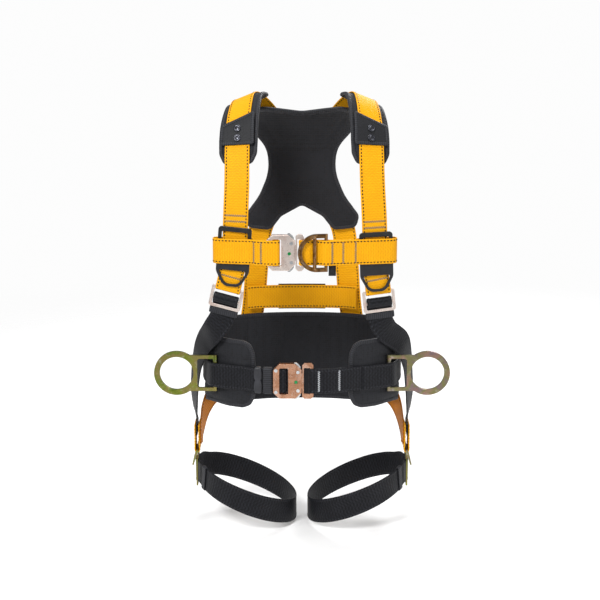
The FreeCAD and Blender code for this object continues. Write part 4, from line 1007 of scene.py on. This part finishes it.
# lower torso straps and their keepers
for side in (-1, 1):
    tag, place = sideName[side], adjust[side]
    head = [(6.8, -37 if side < 0 else -33, 1, 0), (6.6, -32 if side < 0 else -29.5, 1, 0), (6.4, -26, 1, 0),
            (6.0, -15, 1, 0), (5.0, -6, 1, 0), (4.5, 1.0, 1, 0.1),
            (3.3, 4.4, 0.8, 0.8), (0, 5.8, 0, 1), (-3.3, 4.4, -0.8, 0.8), (-4.6, 1.0, -1, 0),
            (-4.7, -3.4, -1, -0.1),
            (-1.0, -10.2, -0.8, -0.6), (3.0, -13.9, -0.9, -0.35), (3.6, -20, -1, 0), (3.6, -36, -1, 0)]
    e = 0.0 if side < 0 else 3.0
    down = [(160 if side < 0 else 152, -84.5, 84, 0.4, -0.9, 0), (180 + e, -54, 52, 0.78, -0.62, 0),
            (193 + e * 0.5, -30, 14, 0.9, -0.43, 0),
            (199, -13, -25, 0.93, -0.37, 0), (201.5, -2, -62, 0.94, -0.34, 0), (200.4, 4, -94, 0.98, -0.2, 0),
            (197.8, 6, -114, 1, 0, 0), (197.3, 6, -136, 1, 0, 0)]
    row = stationsOf(fromFrame(place, head) + pts(mirror(down, side)))
    end = row[-1][4]
    webbing("torso_webbing_" + tag, row, "blackWebbing", "torso_strap_" + tag, thread="blackThread",
            wave=0.3,
            tacks=[(end - 8, "greyThread", (1,)), (end - 24, "greyThread", (1,))])
    spot = place @ Vector((0, 5.0, -26.8))
    hold = Matrix.Translation(spot) @ place.to_3x3().to_4x4() @ Matrix.Rotation(math.pi / 2, 4, "Y")
    band("torso_keeper_band_" + tag, hold, 11.0, 10.0, 49.2, 1.2, "elastic", "torso_keeper_" + tag)
print("torso straps made")

# back
backPad = {"thick": 8.6, "edge": 4.0, "crown": 13.0, "grid": 5.0, "tape": 5.5, "swell": 0.9,
           "grooveDepth": 2.6, "grooveWide": 2.8}
outlinePad = [(-70, 472), (-40, 468), (0, 462), (40, 468), (70, 472), (104, 466), (96, 430), (64, 392),
              (61, 345), (80, 300),
              (108, 262), (102, 240), (60, 236), (40, 262), (0, 284), (-40, 262), (-60, 236), (-102, 240),
              (-108, 262),
              (-80, 300), (-61, 345), (-64, 392), (-96, 430), (-104, 466)]
backLine = [(107.2, 225), (106.6, 300), (106.6, 388), (96, 414), (78, 444), (60, 462), (34, 477)]
backRow = stationsOf([(Vector((0, y - 4.5, z - (0 if z < 400 else 2.5))),
                       Vector((0, 1, 0.0 if z < 400 else 0.5)).normalized())
                      for y, z in backLine], 6)
backZ = [s[0].z for s in backRow]


def backSurface(u, v, h):
    i = min(max(int(np.searchsorted(backZ, v)) - 1, 0), len(backRow) - 2)
    a, b = backRow[i], backRow[i + 1]
    w = (v - a[0].z) / (b[0].z - a[0].z)
    p = a[0].lerp(b[0], w)
    out = a[3].lerp(b[3], w).normalized()
    return Vector((u, p.y, p.z)) + out * h


shape = roundOutline(outlinePad, [60, 60, 60, 60, 60, 10, 60, 120, 120, 90, 16, 14, 14, 22, 14, 22, 14, 14,
                                  16, 90, 120, 120, 60, 10])
spine = [([(-78, 452), (-46, 405), (-43, 340), (-78, 262)], backPad["grooveDepth"], backPad["grooveWide"]),
         ([(78, 452), (46, 405), (43, 340), (78, 262)], backPad["grooveDepth"], backPad["grooveWide"])]
quilt("back_padding", shape, backSurface, backPad, "dorsal_pad", channels=spine)

rowsBack = [(-104, 91.6, 105, -0.45, 1, 0), (-80, 100, 105, -0.3, 1, 0), (-45, 104.5, 105, -0.1, 1, 0),
            (0, 106, 105, 0, 1, 0),
            (45, 104.5, 105, 0.1, 1, 0), (80, 100, 105, 0.3, 1, 0), (104, 91.6, 105, 0.45, 1, 0)]
row = stationsOf(pts(rowsBack))
webbing("cross_webbing", row, "yellowWebbing", "back_cross_strap", wave=0.15,
        tacks=[(12, "greyThread", (1,)), (row[-1][4] - 12, "greyThread", (1,))])
coverRow = stationsOf(pts(rowsBack[2:5]), offset=2.1)
webbing("cross_cover", coverRow, "blackWebbing", "back_cross_cover", width=49.0, deep=1.6,
        thread="blackThread", wave=0.1)
print("back made")

# hips and thighs
leg = {"x": 197.0, "y": 6.0, "z": -165.0, "insertX": 197.3, "thighZ": -243.1, "rise": 0.4, "thighX": 102.5,
       "a": 91.0, "b": 88.0}
for side in (-1, 1):
    tag = sideName[side]
    hip = [(112, 104.5, -51, 0.42, 1, 0), (150, 80, -62, 0.7, 0.7, 0), (176, 52, -84, 0.88, 0.45, 0),
           (187, 30, -114, 0.97, 0.2, 0),
           (190.2, 13, -140, 1, 0.05, 0), (190.4, 8, -158, 1, 0, 0)]
    row = stationsOf(pts(mirror(hip, side)))
    webbing("hip_webbing_" + tag, row, "orangeWebbing", "hip_strap_" + tag, wave=0.3,
            tacks=[(10, "greyThread", (1,)), (20, "greyThread", (1,))])
    legX, legY, legZ, turn = leg["x"], leg["y"], leg["z"], 4.25
    loop = [(legX + 4.1, legY, -116, 1, 0, 0), (legX + 4.1, legY, -146, 1, 0, 0), (legX + turn, legY, -161, 1,
            0, 0),
            (legX + turn, legY, legZ, 1, 0, 0), (legX + turn * 0.7, legY, legZ - turn * 0.7, 1, 0, -1),
            (legX, legY, legZ - turn, 0, 0, -1), (legX - turn * 0.7, legY, legZ - turn * 0.7, -1, 0, -1),
            (legX - turn, legY, legZ, -1, 0, 0), (legX - turn, legY, -161, -1, 0, 0),
            (legX - 3.5, legY, -146, -1, 0, 0), (legX - 3.5, legY, -116, -1, 0, 0)]
    row = stationsOf(pts(mirror(loop, side)))
    webbing("hip_loop_" + tag, row, "yellowWebbing", "leg_loop_" + tag, width=43.0,
            wave=0.08,
            tacks=[(8, "greyThread", (1,)), (18, "greyThread", (1,))])
    over = [(-27, 191.6), (-18, 194.0), (-9, 199.6), (-3.5, 200.3), (3.5, 200.3), (9, 199.6), (18, 194.0),
            (27, 190.6)]
    rows = []
    for y, x in over:
        slant = {-27: -0.15, -18: -0.5, -9: -0.5, 9: 0.5, 18: 0.5, 27: 0.2}.get(y, 0.0)
        rows.append((x, legY + y, leg["thighZ"] + leg["rise"] * 91.0, 1.0, slant, 0))
    for k in range(2, 23):
        t = 2 * math.pi * k / 24
        dx, dy = leg["a"] * math.cos(t), leg["b"] * math.sin(t)
        rows.append((leg["thighX"] + dx, 2.0 + dy, leg["thighZ"] + leg["rise"] * dx, math.cos(t) / leg["a"],
                     math.sin(t) / leg["b"], 0))
    row = stationsOf(pts(mirror(rows, side)), closed=True)
    webbing("thigh_webbing_" + tag, row, "blackWebbing", "leg_strap_" + tag, closed=True,
            thread="blackThread",
            wave=0.22)
    t = math.radians(-29)
    dx, dy = leg["a"] * math.cos(t), leg["b"] * math.sin(t)
    facing = math.degrees(math.atan2(math.cos(t) / leg["a"], -math.sin(t) / leg["b"]))
    place = put(side * (leg["thighX"] + dx), 2.0 + dy, leg["thighZ"] + leg["rise"] * dx, side * facing,
                side * -9.5)
    band("thigh_keeper_band_" + tag, place, 12.0, 4.0, 46.2, 1.1, "elastic", "leg_keeper_" + tag)
print("leg straps made")

# metal and moulded pieces keep their shapes and get their finishes
plated = {
    "side_ring_right": "yellowZinc", "side_ring_left": "mauveZinc", "chest_ring": "bronzeZinc",
          "dorsal_ring": "yellowZinc",
    "dorsal_plate": "moulded", "parking_slide_right": "moulded", "parking_slide_left": "moulded",
    "torso_adjuster_right": "paleZinc", "torso_adjuster_left": "paleZinc",
    "torso_adjuster_bar_right": "paleZinc", "torso_adjuster_bar_left": "paleZinc",
    "leg_buckle_frame_right": "yellowZinc", "leg_buckle_frame_left": "mauveZinc",
    "leg_buckle_insert_right": "yellowZinc", "leg_buckle_insert_left": "yellowZinc",
}
for buckle, tint in (("waist", "roseZinc"), ("chest", "paleZinc")):
    plated.update({buckle + "_receiver_front": tint, buckle + "_receiver_back": tint,
                   buckle + "_tongue": tint,
                   buckle + "_rivets": "brightSteel", buckle + "_indicator": "greenEnamel",
                   buckle + "_lever_springs": "brightSteel",
                   buckle + "_lever_upper": "brightSteel", buckle + "_lever_lower": "brightSteel"})
softened = {"side_ring_right": 1.1, "side_ring_left": 1.1, "chest_ring": 1.3, "dorsal_ring": 1.1,
            "dorsal_plate": 0.6,
            "leg_buckle_frame_right": 0.5, "leg_buckle_frame_left": 0.5}
for node, key in plated.items():
    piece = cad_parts[node]
    piece.data.materials.clear()
    piece.data.materials.append(finish[key])
    if node in softened:  # stamped and forged edges are never sharp
        weld = piece.modifiers.new("weld", "WELD")
        weld.merge_threshold = 0.00002
        edge = piece.modifiers.new("edge", "BEVEL")
        edge.width, edge.segments, edge.limit_method = softened[node] * mm, 3, "ANGLE"
        edge.angle_limit = math.radians(40)
        edge.harden_normals = False
print("finishes given to", len(plated), "kept pieces")

# room
low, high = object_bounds()
room = {"floorGap": 0.002, "floorReach": 2.6, "white": "#F6F6F6", "sky": 0.42, "surround": 0.98}
# Paper roll, matt: fades into the white surround so that no horizon shows
floorMaterial, tree, bsdf = startMaterial("paper_rolled_white", Roughness=0.95, Specular_IOR_Level=0.05)
place = addNode(tree, "ShaderNodeTexCoord").outputs["Object"]
mottle = addNode(tree, "ShaderNodeTexNoise", Vector=place, Scale=grainScale(330),
                 Detail=3.0).outputs["Fac"]  # slow patches in the paper, 330 mm
tint = addNode(tree, "ShaderNodeValToRGB", {"stops": ((0.3, "#F2F2F2"), (0.7, room["white"]))},
               Fac=mottle).outputs[0]
tree.links.new(tint, bsdf.inputs["Base Color"])
far = addNode(tree, "ShaderNodeVectorMath", {"operation": "LENGTH"}, Vector=place).outputs["Value"]
fade = addNode(tree, "ShaderNodeMapRange", {"interpolation_type": "SMOOTHSTEP"}, Value=far, From_Min=0.7,
               From_Max=room["floorReach"] - 0.2,
               To_Min=1.0, To_Max=0.0).outputs[0]
tree.links.new(fade, bsdf.inputs["Alpha"])
floorMesh = bpy.data.meshes.new("floor")
rim = [(room["floorReach"] * math.cos(math.radians(t)), room["floorReach"] * math.sin(math.radians(t)),
        low.z - room["floorGap"])
       for t in range(0, 360, 6)]
floorMesh.from_pydata(rim, [], [range(len(rim))])
floorMesh.materials.append(floorMaterial)
floor = bpy.data.objects.new("floor", floorMesh)
bpy.context.scene.collection.objects.link(floor)

world = bpy.data.worlds.new("studio")
bpy.context.scene.world = world
world.use_nodes = True
# a white surround behind the object, dimmer as a source of light so that the lamps give the shapes
sight = addNode(world.node_tree, "ShaderNodeLightPath").outputs["Is Camera Ray"]
level = addNode(world.node_tree, "ShaderNodeMapRange", Value=sight, To_Min=room["sky"],
                To_Max=room["surround"]).outputs[0]
backdrop = world.node_tree.nodes["Background"]
backdrop.inputs[0].default_value = linear("#FFFFFF")
world.node_tree.links.new(level, backdrop.inputs[1])
lamps = {
    "keySoft": ((-1.2, -2.1, 1.9), 0.8, 66.0), "fillSoft": ((2.0, -1.7, 0.7), 1.3, 20.0),
    "rimBack": ((1.1, 1.9, 1.5), 1.0, 42.0), "topSoft": ((0.0, 0.1, 2.4), 1.2, 30.0),
}
for name, (spot, size, power) in lamps.items():
    lampData = bpy.data.lights.new(name, "AREA")
    lampData.shape, lampData.size, lampData.energy = "SQUARE", size, power
    lamp = bpy.data.objects.new(name, lampData)
    lamp.location = spot
    lamp.rotation_euler = (Vector((0, 0, 0.12)) - Vector(spot)).to_track_quat("-Z", "Y").to_euler()
    bpy.context.scene.collection.objects.link(lamp)
bpy.context.scene.view_settings.view_transform = "Standard"
print("room lit")
